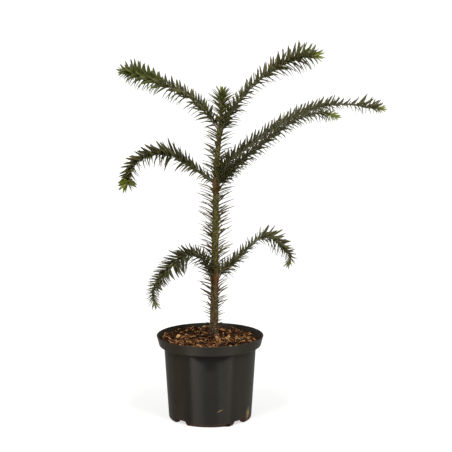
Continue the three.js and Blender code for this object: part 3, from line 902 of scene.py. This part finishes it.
# name, two colours, chips for each square centimetre, size range, lift in millimetres, forms
CHIP_TINTS = (
    ("bark_chips_dark", "#1f1108", "#361f0e", 2.3, (0.7, 1.2), 1.0, (*SHREDS, "flake", "chunk")),
    ("bark_chips_rust", "#5a361d", "#7a4d2c", 1.0, (0.5, 1.2), 1.3, (*SHREDS, "flake")),
    ("bark_chips_orange", "#8b6039", "#ad7f52", 0.55, (0.5, 1.15), 2.2, (*SHREDS, "flake", "chunk")),
    ("bark_chips_tan", "#9a7849", "#bb9766", 0.13, (0.6, 1.1), 2.6, PALE_FORMS),
)


def chip_form(form, random):
    """One bark chip as a bent and twisted bar with a worn, uneven section, in millimetres."""
    name, long, wide, thick, bend, twist, uneven = form
    points = []
    arm = long / math.radians(bend)
    level = math.cos(math.radians(bend) / 3)
    for share in np.linspace(0, 1, CHIP_ROWS):
        swing = math.radians(bend) * (share - 0.5)
        middle = np.array([arm * math.sin(swing), 0, arm * (math.cos(swing) - level)])
        normal = np.array([math.sin(swing), 0, math.cos(swing)])
        roll = math.radians(twist) * (share - 0.5)
        across = np.array([0, math.cos(roll), 0]) + normal * math.sin(roll)
        upward = normal * math.cos(roll) - np.array([0, math.sin(roll), 0])
        taper = CHIP_END + (1 - CHIP_END) * math.sin(math.pi * np.interp(share, (0, 1), CHIP_TAPER))
        for y, z in CHIP_CORNERS:
            wear = 1 + uneven * random.uniform(-1, 1)
            points.append(middle + taper * wear * (across * y * wide + upward * z * thick))
    return mesh_object(f"chip_{name}", points, tube_faces(0, CHIP_ROWS, len(CHIP_CORNERS)))


def chip_scatter_tree():
    """Geometry Nodes: chips of several forms scattered on a bed, turned, tilted and sized by chance."""
    numbers = dict.fromkeys(("Density", "Smallest", "Largest", "Tilt", "Lift"), "Float")
    inputs = {"Bed": "Geometry", "Forms": "Collection", **numbers, "Seed": "Int", "Finish": "Material"}
    tree, given = node_group("Chip scatter", inputs, "Chips")
    seed = given["Seed"]
    tilt = given["Tilt"]
    spots = {"Mesh": given["Bed"], "Density": given["Density"], "Seed": seed}
    scatter = add_node(tree, "GeometryNodeDistributePointsOnFaces", spots)
    choice = {"Collection": given["Forms"], "Separate Children": True, "Reset Children": True}
    forms = add_node(tree, "GeometryNodeCollectionInfo", choice)
    back = add_node(tree, "ShaderNodeMath", {0: tilt, 1: -1.0}, operation="MULTIPLY")
    low = add_node(tree, "ShaderNodeCombineXYZ", {"X": back, "Y": back, "Z": 0.0})
    high = add_node(tree, "ShaderNodeCombineXYZ", {"X": tilt, "Y": tilt, "Z": math.tau})
    turns = {0: low, 1: high, "Seed": seed}
    turn = add_node(tree, "FunctionNodeRandomValue", turns, data_type="FLOAT_VECTOR")
    sizes = {2: given["Smallest"], 3: given["Largest"], "Seed": seed}
    size = add_node(tree, "FunctionNodeRandomValue", sizes, data_type="FLOAT")
    lift = add_node(tree, "ShaderNodeCombineXYZ", {"Z": given["Lift"]})
    raised = add_node(tree, "GeometryNodeSetPosition", {"Geometry": scatter, "Offset": lift})
    chips = {"Points": raised, "Instance": forms, "Pick Instance": True, "Rotation": turn, "Scale": size}
    placed = add_node(tree, "GeometryNodeInstanceOnPoints", chips)
    real = add_node(tree, "GeometryNodeRealizeInstances", {"Geometry": placed})
    dressed = add_node(tree, "GeometryNodeSetMaterial", {"Geometry": real, "Material": given["Finish"]})
    add_node(tree, "NodeGroupOutput", {"Chips": dressed})
    return tree


def bed_height(mulch, x, y):
    """The lumpy upper face of the bed of chips, in millimetres."""
    lumps = noise.fractal(Vector((x / LUMP_WIDTH, y / LUMP_WIDTH, LUMP_NOISE_PLACE)), *LUMP_FRACTAL)
    away = math.dist((x, y), TREE_FOOT[:2]) * MM / mulch.heap_radius
    return (mulch.bed_top + mulch.lump * lumps + mulch.heap * math.exp(-(away**2))) / MM


class POTTED_TREE_OT_mulch(bpy.types.Operator):
    """Finish the soil, and build the bed of bark with the chips that lie on it"""

    bl_idname = "potted_tree.mulch"
    bl_label = "Soil and bark chips"

    def execute(self, context):
        mulch = context.scene.potted_tree_mulch
        compost = moist_compost(mulch)
        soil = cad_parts["potting_soil"]
        soil.data.materials.clear()
        soil.data.materials.append(compost)
        # The bed under the chips takes the nearly black compost, as painted shade in the gaps between them
        finished(self.bed(mulch, compost), "potting_compost", "bark_mulch")

        ground = self.ground(mulch)
        random = np.random.default_rng(mulch.seed)
        models = {form[0]: chip_form(form, random) for form in CHIP_FORMS}
        tree = chip_scatter_tree()
        for order, (name, first, second, count, sizes, lift, kinds) in enumerate(CHIP_TINTS):
            forms = bpy.data.collections.new(f"{name}_forms")
            for kind in kinds:
                forms.objects.link(models[kind])
            chips = place_object(name, ground.data.copy())
            mesh = grow(
                chips,
                tree,
                Forms=forms,
                Density=count / SQUARE_CM,
                Smallest=sizes[0],
                Largest=sizes[1],
                Tilt=mulch.tilt,
                Lift=lift * MM,
                Seed=mulch.seed + order,
                Finish=shredded_bark(f"{name}_shredded", first, second),
            )
            self.press(mesh, mulch)
            finished(chips, "bark_chips", "bark_mulch")
            bpy.data.collections.remove(forms)
        for unused in (ground, *models.values()):
            bpy.data.objects.remove(unused)
        return {"FINISHED"}

    @staticmethod
    def bed(mulch, material):
        foot, reach = lengths(mulch, "bed_foot", "bed_radius")
        ways = [(math.cos(t), math.sin(t)) for t in np.arange(BED_SIDES) * math.tau / BED_SIDES]
        points = [(0, 0, foot)]
        points += [(reach * x, reach * y, foot) for x, y in ways]
        for radius in reversed(np.linspace(0, reach, BED_RINGS + 1)[1:]):
            ring = [(radius * x, radius * y) for x, y in ways]
            points += [(x, y, bed_height(mulch, x, y)) for x, y in ring]
        points.append((0, 0, bed_height(mulch, 0, 0)))
        last = len(points) - 1
        faces = flipped(fan_faces(1, BED_SIDES, 0)) + ring_faces(1, BED_RINGS + 1, BED_SIDES)
        faces += fan_faces(last - BED_SIDES, BED_SIDES, last)
        bed = mesh_object("bark_bed", points, faces, material)
        smooth(bed.data, sharp_degrees=50)
        return bed

    @staticmethod
    def press(mesh, mulch):
        """Bends the ends of chips that would pass through the pot's wall back along it."""
        places = np.empty(3 * len(mesh.vertices), np.float32)
        mesh.vertices.foreach_get("co", places)
        places = places.reshape(-1, 3)
        away = np.hypot(places[:, 0], places[:, 1])
        places[:, :2] *= np.minimum(1, mulch.bed_radius / np.maximum(away, mulch.bed_radius / 2))[:, None]
        mesh.vertices.foreach_set("co", places.ravel())
        mesh.update()

    @staticmethod
    def ground(mulch):
        """The part of the bed that chips lie on: clear of the wall and of the trunk."""
        step = GROUND_STEP
        reach, room = lengths(mulch, "chip_reach", "trunk_room")
        cells = np.arange(-reach, reach, step)
        points = []
        faces = []
        for x in cells:
            for y in cells:
                middle = (x + step / 2, y + step / 2)
                if math.hypot(*middle) > reach or math.dist(middle, TREE_FOOT[:2]) < room:
                    continue
                first = len(points)
                for dx, dy in ((0, 0), (step, 0), (step, step), (0, step)):
                    points.append((x + dx, y + dy, bed_height(mulch, x + dx, y + dy)))
                faces.append((first, first + 1, first + 2, first + 3))
        return mesh_object("chip_ground", points, faces)


# Shoots

# Fall and width of the ridge that runs down from a leaf, and the share of it under the stem's skin
RIDGE_FALL = 4.0
RIDGE_WIDTH = 1.7
RIDGE_SUNK = 0.3
SPIRAL_MARKS = 400
# How far a leaf strays from its place in the spiral: degrees round the shoot, share of a step along it
SPIRAL_STRAY = (9, 0.4)
TRUNK_SIDES = 44
TRUNK_ROW = 1.1
TRUNK_OVERLAP = 2
# Sizes of the cracks in the bark and their noise, their depth in the cork and all the way up, and the
# heights where the cork ends
CRACK_SIZE = np.array([3.2, 3.2, 2.1])
CRACK_FRACTAL = (0.8, 2.1, 3)
CORK_DEPTH = 0.5
SKIN_DEPTH = 0.12
CORK_FADE = (70, 170)
BOUGH_SIDES = 14
BOUGH_ROW = 1.5
BOUGH_START = 1.5
BOUGH_RIDGE = 0.7

Shoot = namedtuple("Shoot", "name rule axis places turns")


def spiral(first, last, spacing, random, full):
    """Leaves' places along a shoot and turns round it, by the golden angle, with chance."""
    marks = np.linspace(first, last, SPIRAL_MARKS)
    passed = np.cumsum(along(full, marks / last)) * (marks[1] - marks[0]) / spacing
    places = np.interp(np.arange(0.5, passed[-1]), passed, marks)
    count = len(places)
    turn_stray, step_stray = SPIRAL_STRAY
    turns = GOLDEN_TURN * np.arange(count) + np.radians(turn_stray) * random.uniform(-1, 1, count)
    return places + spacing * random.uniform(-step_stray, step_stray, count), turns


def stem_points(shoot, first, last, spacing, sides, ridge):
    """Rings of points along a shoot, with a ridge running down from each leaf, in millimetres."""
    distance = np.linspace(first, last, max(2, int((last - first) / spacing)))
    turns = np.arange(sides) * math.tau / sides
    _, side, up = shoot.axis.frames(distance)
    middle = shoot.axis.points(distance)
    radius = shoot.axis.radius(distance)
    relief = np.zeros((len(distance), sides))
    for place, turn in zip(shoot.places, shoot.turns):
        close = np.abs(distance - place) < 4 * RIDGE_FALL
        fall = np.exp(-(((distance[close] - place + RIDGE_FALL) / RIDGE_FALL) ** 2))
        away = (turns - turn + math.pi) % math.tau - math.pi
        across = np.exp(-((away[None, :] * radius[close, None] / RIDGE_WIDTH) ** 2))
        relief[close] = np.maximum(relief[close], fall[:, None] * across)
    reach = radius[:, None] + ridge * (relief - RIDGE_SUNK)
    outward = up[:, None] * np.cos(turns)[:, None] + side[:, None] * np.sin(turns)[:, None]
    return (middle[:, None] + outward * reach[:, :, None]).reshape(-1, 3), len(distance)


def stem_faces(first, rings, sides):
    """Faces of a stem, whose rings turn from up to side, which is clockwise seen from the tip."""
    return flipped(tube_faces(first, rings, sides))


def trunk_shoot(tree):
    random = np.random.default_rng(tree.seed)
    rule = TRUNK_LEAVES
    height = TRUNK["height"]
    last = height - rule["last"]
    places, turns = spiral(rule["first"], last, tree.leaf_spacing / MM, random, rule["full"])
    keep = along(rule["keep"], places / height)
    half, collar_keep = rule["collar"]
    for collar in TRUNK["collars"]:
        keep = np.where(np.abs(places - collar) < half, collar_keep, keep)
    kept = random.uniform(0, 1, len(places)) < keep
    return Shoot("trunk", rule, Trunk(tree.skin / MM), places[kept], turns[kept])


def limb_shoots(tree):
    """The boughs and the leader, each with its axis and its spiral of leaves."""
    shoots = []
    spacing = tree.leaf_spacing / MM
    for order, (name, bough) in enumerate(BOUGHS.items()):
        axis = Limb(bough["height"], bough, BOUGH_RADII, BOUGH_FLARE)
        random = np.random.default_rng(tree.seed + 1 + order)
        places, turns = spiral(BARE_FOOT, axis.length - TIP_ROOM, spacing, random, bough["full"])
        under = axis.frames(places)[2][:, 2] * np.cos(turns) < UNDERSIDE
        kept = ~under | (random.uniform(0, 1, len(places)) >= bough["bare"])
        shoots.append(Shoot(name, {**BOUGH_LEAVES, **bough}, axis, places[kept], turns[kept]))
    axis = Limb(TRUNK["height"], LEADER, LEADER_RADII)
    random = np.random.default_rng(tree.seed + 1 + len(BOUGHS))
    last = axis.length - TIP_ROOM
    leaves = spiral(LEADER["first"], last, LEADER["spacing"] * spacing, random, LEADER["full"])
    shoots.append(Shoot("leader", LEADER, axis, *leaves))
    return shoots


class POTTED_TREE_OT_trunk(bpy.types.Operator):
    """Build the trunk, with its taper, root flare, collars and the ridges under its leaves"""

    bl_idname = "potted_tree.trunk"
    bl_label = "Trunk"

    def execute(self, context):
        tree = context.scene.potted_tree_tree
        top = TRUNK["height"] + TRUNK_OVERLAP
        points, rings = stem_points(trunk_shoot(tree), 0, top, TRUNK_ROW, TRUNK_SIDES, tree.ridge / MM)
        # Corky rings and cracks low on the trunk, fading towards the green bark
        place = points.reshape(rings, TRUNK_SIDES, 3)
        middle = place.mean(axis=1, keepdims=True)
        for j in range(rings):
            height = middle[j, 0, 2]
            rough = CORK_DEPTH * (1 - smoothstep(*CORK_FADE, height)) + SKIN_DEPTH
            for i in range(TRUNK_SIDES):
                crack = noise.fractal(Vector(place[j, i] / CRACK_SIZE), *CRACK_FRACTAL)
                place[j, i] += (place[j, i] - middle[j, 0]) / trunk_radius(height) * rough * crack
        # The cut on the soil stays flat
        place[0, :, 2] = 0
        faces = stem_faces(0, rings, TRUNK_SIDES)
        obj = mesh_object("trunk_bark", place.reshape(-1, 3) + TREE_FOOT, faces, living_bark(tree))
        smooth(obj.data, sharp_degrees=60)
        finished(obj, "trunk_bark", "trunk")
        return {"FINISHED"}


class POTTED_TREE_OT_boughs(bpy.types.Operator):
    """Build the stems of the boughs and of the leader, from the trunk to their tips"""

    bl_idname = "potted_tree.boughs"
    bl_label = "Boughs"

    def execute(self, context):
        tree = context.scene.potted_tree_tree
        ridge = BOUGH_RIDGE * tree.ridge / MM
        points = []
        faces = []
        total = 0
        for shoot in limb_shoots(tree):
            start = BOUGH_START if shoot.name in BOUGHS else 0.0
            found, rings = stem_points(shoot, start, shoot.axis.length, BOUGH_ROW, BOUGH_SIDES, ridge)
            faces += stem_faces(total, rings, BOUGH_SIDES)
            points.append(found)
            total += len(found)
        obj = mesh_object("bough_bark", np.vstack(points) + TREE_FOOT, faces, shoot_skin(tree))
        smooth(obj.data, sharp_degrees=60)
        finished(obj, "shoot_bark", *[f"bough_{name}" for name in BOUGHS])
        return {"FINISHED"}


# Leaves

# Slot and two colours of each kind
LEAF_KINDS = {
    # The deepest green and olive also serve as painted shade and painted light, dealt out bough by bough
    "leaves_deep": ("mature_leaf", "#3f3e23", "#484627"),
    "leaves_mature": ("mature_leaf", "#52502f", "#5c5935"),
    "leaves_olive": ("mature_leaf", "#67633b", "#736d46"),
    "leaves_dry": ("mature_leaf", "#50452a", "#605132"),
    "leaves_young": ("young_leaf", "#545a2d", "#5f6533"),
    "leaves_bud": ("young_leaf", "#50560a", "#5b6112"),
    "leaves_fresh": ("young_leaf", "#727935", "#838843"),
}
# Shares of a leaf's length, with its width and depth there
BLADE_ROWS = (
    (0, 0.6, 1), (0.1, 0.88, 1), (0.25, 1, 0.95), (0.45, 0.92, 0.85), (0.68, 0.7, 0.7), (0.87, 0.42, 0.5),
)
# A leaf's section: two margins, with the keel under and the channel between them
BLADE_SECTION = ((-0.5, 0.35), (0, -0.65), (0.5, 0.35), (0, 0.1))
# What each leaf's foot carries for the node tree
FOOT_ATTRIBUTES = {"turn": "QUATERNION", "size": "FLOAT_VECTOR", "curl": "FLOAT_VECTOR"}
# How far down, or up, a leaf points as it passes to the lower, or upper, side of its shoot
LOWER_SIDE = (-0.1, 0.9)
UPPER_SIDE = (-0.1, 0.6)
# A leaf's whole length against the length that shows, and the share of the stem's radius at its foot
WHOLE_LEAF = 1.1
LEAF_ROOT = 0.75
# Length of a leaf of full width, and the narrowest and widest shares of it
FULL_LENGTH = 20
WIDTH_RANGE = (0.55, 1.3)
# Shares of a leaf's length by which its tip sags, and by which it sags more under a shoot
SAG = 0.02
UNDER_SAG = 0.06
# Share of a bough over which fresh leaves begin
FRESH_BLEND = 0.006
LEAF_SEED_STEP = 50


def leaf_blade():
    """One leaf as a channelled, keeled blade of unit length, width and depth, with its reach stored."""
    points = [(x, wide * y, deep * z) for x, wide, deep in BLADE_ROWS for y, z in BLADE_SECTION]
    points.append((1.0, 0, 0))
    rows = len(BLADE_ROWS)
    sides = len(BLADE_SECTION)
    faces = [tuple(reversed(range(sides))), *ring_faces(0, rows, sides)]
    faces += fan_faces((rows - 1) * sides, sides, rows * sides)
    blade = mesh_object("leaf_blade", np.array(points) / MM, faces)
    reach = blade.data.attributes.new("reach", "FLOAT", "POINT")
    reach.data.foreach_set("value", [point[0] for point in points])
    return blade


def leaf_spray_tree():
    """Geometry Nodes: a blade on each point, turned and sized by the point, bent along its reach."""
    inputs = {"Feet": "Geometry", "Blade": "Object", "Finish": "Material"}
    tree, given = node_group("Leaf spray", inputs, "Leaves")
    stored = {
        name: add_node(tree, "GeometryNodeInputNamedAttribute", {"Name": name}, data_type=kind)
        for name, kind in {**FOOT_ATTRIBUTES, "reach": "FLOAT"}.items()
    }
    blade = add_node(tree, "GeometryNodeObjectInfo", {"Object": given["Blade"]}).outputs["Geometry"]
    stance = {"Rotation": stored["turn"], "Scale": stored["size"]}
    leaves = {"Points": given["Feet"], "Instance": blade, **stance}
    placed = add_node(tree, "GeometryNodeInstanceOnPoints", leaves)
    real = add_node(tree, "GeometryNodeRealizeInstances", {"Geometry": placed})
    squared = add_node(tree, "ShaderNodeMath", {0: stored["reach"], 1: 2.0}, operation="POWER")
    bend = {0: stored["curl"], "Scale": squared}
    offset = add_node(tree, "ShaderNodeVectorMath", bend, operation="SCALE")
    bent = add_node(tree, "GeometryNodeSetPosition", {"Geometry": real, "Offset": offset})
    dressed = add_node(tree, "GeometryNodeSetMaterial", {"Geometry": bent, "Material": given["Finish"]})
    add_node(tree, "NodeGroupOutput", {"Leaves": dressed})
    return tree


def leaf_rows(shoot, tree, random):
    """What every leaf of a shoot needs: its foot, its axes, size and bend, in millimetres."""
    rule = shoot.rule
    count = len(shoot.places)
    share = np.clip(shoot.places / shoot.axis.length, 0, 1)
    ahead, side, up = shoot.axis.frames(shoot.places)
    outward = up * np.cos(shoot.turns)[:, None] + side * np.sin(shoot.turns)[:, None]
    lower = smoothstep(*LOWER_SIDE, -outward[:, 2])
    upper = smoothstep(*UPPER_SIDE, outward[:, 2])
    tuft = smoothstep(1 - rule["tuft"] / shoot.axis.length, 1, share)
    stray = random.uniform(-1, 1, (count, 4)) * rule["stray"]
    long = along(rule["leaf"], share) * (1 - lower) + along(rule.get("under", rule["leaf"]), share) * lower
    long *= WHOLE_LEAF * (1 + stray[:, 3])
    below, at_tip = rule["close"]
    spread = along(rule["spread"], share)
    spread += (below - spread) * lower
    spread += (at_tip - spread) * tuft
    more_under, less_on, less_at_tip = rule["bends"]
    bend = rule["recurve"] * math.degrees(tree.recurve)
    bend = bend + more_under * lower - less_on * upper - less_at_tip * tuft
    wide_on, wide_under = rule["wide"]
    wide = tree.leaf_width / MM * (wide_on + (wide_under - wide_on) * lower)
    wide *= np.clip(long / FULL_LENGTH, *WIDTH_RANGE)
    twist_on, twist_under = rule["twist"]
    roll = stray[:, 2] + twist_on * upper + twist_under * lower
    lean = np.radians(spread + stray[:, 0])[:, None]
    forward = ahead * np.cos(lean) + outward * np.sin(lean)
    away = outward * np.cos(lean) - ahead * np.sin(lean)
    curl = away * (0.5 * np.tan(np.radians(bend + stray[:, 1])) * long)[:, None]
    curl[:, 2] -= (SAG + UNDER_SAG * lower) * long
    root = LEAF_ROOT * shoot.axis.radius(shoot.places)
    return {
        "share": share,
        "foot": shoot.axis.points(shoot.places) + outward * root[:, None],
        "forward": forward,
        "across": np.cross(ahead, outward),
        "roll": np.radians(roll),
        "size": np.stack([long, wide, np.full(count, tree.leaf_thickness / MM)], -1),
        "curl": curl,
    }


def leaf_kinds(shoot, share, random):
    """The kind of each leaf: fresh and young ones towards a tip, several greens behind."""
    rule = shoot.rule
    pick = random.uniform(0, 1, len(share))
    chance = random.uniform(-1, 1, len(share))
    if shoot.name == "trunk":
        greens = np.where(pick < rule["olive"], "leaves_olive", "leaves_mature")
        return np.where(chance < along(rule["dry"], share), "leaves_dry", greens)
    # Deep green is partly painted shade and olive partly painted light, in shares set for each shoot
    deep, olive = rule["tones"]
    kinds = np.where(pick < 1 - olive, "leaves_mature", "leaves_olive")
    kinds = np.where(pick < deep, "leaves_deep", kinds)
    young_from, young_kind = rule["young"]
    kinds = np.where(share + rule["blend"] * chance > young_from, young_kind, kinds)
    if shoot.name == "leader":
        fresh = pick < rule["fresh"] * share
    else:
        fresh = share + FRESH_BLEND * chance > 1 - rule["bright"] / rule["length"]
    return np.where(fresh, "leaves_fresh", kinds)


def mass_names(shoot):
    """The CAD masses that the leaves of a shoot stand for, one name a leaf."""
    if shoot.name == "trunk":
        tops = list(TRUNK_SKINS.values())
        return np.array(list(TRUNK_SKINS))[np.searchsorted(tops[:-1], shoot.places)]
    if shoot.name == "leader":
        return np.full(len(shoot.places), "leader_shoot")
    outer = shoot.places > shoot.rule["bend"] * shoot.axis.length
    return np.where(outer, f"foliage_{shoot.name}_outer", f"foliage_{shoot.name}_inner")


class POTTED_TREE_OT_leaves(bpy.types.Operator):
    """Build the leaves of trunk, boughs and leader, joined by kind"""

    bl_idname = "potted_tree.leaves"
    bl_label = "Leaves"

    def execute(self, context):
        tree = context.scene.potted_tree_tree
        feet = {kind: [] for kind in LEAF_KINDS}
        masses = {kind: set() for kind in LEAF_KINDS}
        for order, shoot in enumerate([trunk_shoot(tree), *limb_shoots(tree)]):
            random = np.random.default_rng(tree.seed + LEAF_SEED_STEP + order)
            rows = leaf_rows(shoot, tree, random)
            kinds = leaf_kinds(shoot, rows["share"], random)
            names = mass_names(shoot)
            for i, kind in enumerate(kinds):
                feet[kind].append(self.foot(rows, i))
                masses[kind].add(str(names[i]))
        blade = leaf_blade()
        spray = leaf_spray_tree()
        for kind, (slot, first, second) in LEAF_KINDS.items():
            material = leaf_cuticle(f"cuticle_{kind}", first, second)
            obj = self.sprays(kind, feet[kind], blade, spray, material)
            finished(obj, slot, *sorted(masses[kind]))
        bpy.data.objects.remove(blade)
        return {"FINISHED"}

    @staticmethod
    def foot(rows, i):
        """A leaf's foot, turn, size and bend, ready for the node tree, in metres."""
        forward = Vector(rows["forward"][i])
        across = Vector(rows["across"][i])
        across.rotate(Matrix.Rotation(rows["roll"][i], 3, forward))
        turn = Matrix((forward, across, forward.cross(across))).transposed().to_quaternion()
        return (rows["foot"][i] + TREE_FOOT) * MM, turn, rows["size"][i] * MM, rows["curl"][i] * MM

    @staticmethod
    def sprays(kind, feet, blade, spray, material):
        """All leaves of one kind, grown on their feet."""
        places, *columns = zip(*feet)
        mesh = bpy.data.meshes.new(kind)
        mesh.from_pydata([place.tolist() for place in places], [], [])
        for (name, form), column in zip(FOOT_ATTRIBUTES.items(), columns):
            attribute = mesh.attributes.new(name, form, "POINT")
            field = "value" if form == "QUATERNION" else "vector"
            attribute.data.foreach_set(field, np.array([list(value) for value in column]).ravel())
        obj = place_object(kind, mesh)
        mesh = grow(obj, spray, Blade=blade, Finish=material)
        for name in (*FOOT_ATTRIBUTES, "reach"):
            if name in mesh.attributes:
                mesh.attributes.remove(mesh.attributes[name])
        smooth(mesh, sharp_degrees=40)
        return obj


# Stage

CAMERA_PLACE = (0.0283, -2.950, 0.853)
SENSOR_WIDTH = 36.0
FARTHEST = 200.0
# Each key light's direction from the camera's side, and its height, in degrees
KEY_LIGHTS = (("key_left", -33, 50), ("key_right", 37, 50))
KEY_SOFTNESS = 18
# Strip lights that show in sheen only: two lean in over the camera and one joins them, as in a letter A.
# name, direction from the camera's side in degrees and height in metres of both ends, power
STRIP_LIGHTS = (
    ("strip_left", (-47, 0.45), (-6, 2.5), 1.3),
    ("strip_right", (56, 0.45), (20, 2.5), 1.0),
    ("strip_bar", (-14, 2.3), (20, 2.3), 1.1),
)
STRIP_DISTANCE = 0.9
STRIP_WIDTH = 0.1
STRIP_COLOUR = "#fff4e4"


def towards(side):
    """The level direction at an angle in degrees from the camera's side."""
    return Vector((math.sin(math.radians(side)), -math.cos(math.radians(side)), 0.0))


class POTTED_TREE_OT_stage(bpy.types.Operator):
    """Build the floor, the lights and the camera"""

    bl_idname = "potted_tree.stage"
    bl_label = "Stage"

    def execute(self, context):
        stage = context.scene.potted_tree_stage
        half = stage.floor_size / MM / 2
        corners = [(-half, -half, 0), (half, -half, 0), (half, half, 0), (-half, half, 0)]
        mesh_object("studio_floor", corners, [(0, 1, 2, 3)], opal_acrylic(stage))

        world = bpy.data.worlds.new("studio")
        world.use_nodes = True
        sky = world.node_tree.nodes["Background"]
        sky.inputs["Color"].default_value = linear("#ffffff")
        sky.inputs["Strength"].default_value = stage.sky
        context.scene.world = world
        for name, side, height in KEY_LIGHTS:
            light = bpy.data.lights.new(name, "SUN")
            light.energy = stage.key
            light.angle = math.radians(KEY_SOFTNESS)
            rise = math.radians(height)
            source = towards(side) * math.cos(rise) + Vector((0, 0, math.sin(rise)))
            place_object(name, light).rotation_euler = source.to_track_quat("Z", "Y").to_euler()
        for name, *ends, power in STRIP_LIGHTS:
            foot, top = [towards(side) * STRIP_DISTANCE + Vector((0, 0, z)) for side, z in ends]
            light = bpy.data.lights.new(name, "AREA")
            light.shape = "RECTANGLE"
            light.size = STRIP_WIDTH
            light.size_y = (top - foot).length
            light.energy = power * stage.strip
            light.color = linear(STRIP_COLOUR)[:3]
            lamp = place_object(name, light)
            lamp.location = (foot + top) / 2
            upward = (top - foot).normalized()
            across = upward.cross(lamp.location).normalized()
            lamp.rotation_euler = Matrix((across, upward, across.cross(upward))).transposed().to_euler()
            lamp.visible_camera = False
            lamp.visible_diffuse = False

        lens = bpy.data.cameras.new("camera")
        lens.lens = stage.focal_length
        lens.sensor_width = SENSOR_WIDTH
        lens.clip_end = FARTHEST
        camera = place_object("camera", lens)
        camera.location = CAMERA_PLACE
        camera.rotation_euler = (math.pi / 2 - stage.tilt, 0.0, 0.0)
        context.scene.camera = camera
        context.scene.view_settings.view_transform = "Standard"
        return {"FINISHED"}


# Add-on

OPERATORS = (
    POTTED_TREE_OT_pot,
    POTTED_TREE_OT_scraps,
    POTTED_TREE_OT_mulch,
    POTTED_TREE_OT_trunk,
    POTTED_TREE_OT_boughs,
    POTTED_TREE_OT_leaves,
    POTTED_TREE_OT_stage,
)
SETTINGS = {
    "potted_tree_pot": PotSettings,
    "potted_tree_mulch": MulchSettings,
    "potted_tree_tree": TreeSettings,
    "potted_tree_stage": StageSettings,
}


class POTTED_TREE_PT_panel(bpy.types.Panel):
    """The pieces of the potted tree, with the sizes and colours they are built from"""

    bl_idname = "POTTED_TREE_PT_panel"
    bl_label = "Potted tree"
    bl_space_type = "VIEW_3D"
    bl_region_type = "UI"
    bl_category = "Potted tree"

    def draw(self, context):
        for operator in OPERATORS:
            self.layout.operator(operator.bl_idname)
        for name, group in SETTINGS.items():
            box = self.layout.box()
            for item in group.__annotations__:
                box.prop(getattr(context.scene, name), item)


def register():
    for name, group in SETTINGS.items():
        bpy.utils.register_class(group)
        setattr(bpy.types.Scene, name, PointerProperty(type=group))
    for made in (*OPERATORS, POTTED_TREE_PT_panel):
        bpy.utils.register_class(made)


def unregister():
    for made in (POTTED_TREE_PT_panel, *reversed(OPERATORS)):
        bpy.utils.unregister_class(made)
    for name, group in SETTINGS.items():
        delattr(bpy.types.Scene, name)
        bpy.utils.unregister_class(group)


def main():
    register()
    bpy.ops.potted_tree.pot()
    bpy.ops.potted_tree.scraps()
    bpy.ops.potted_tree.mulch()
    bpy.ops.potted_tree.trunk()
    bpy.ops.potted_tree.boughs()
    bpy.ops.potted_tree.leaves()
    bpy.ops.potted_tree.stage()


if __name__ == "__main__":
    main()
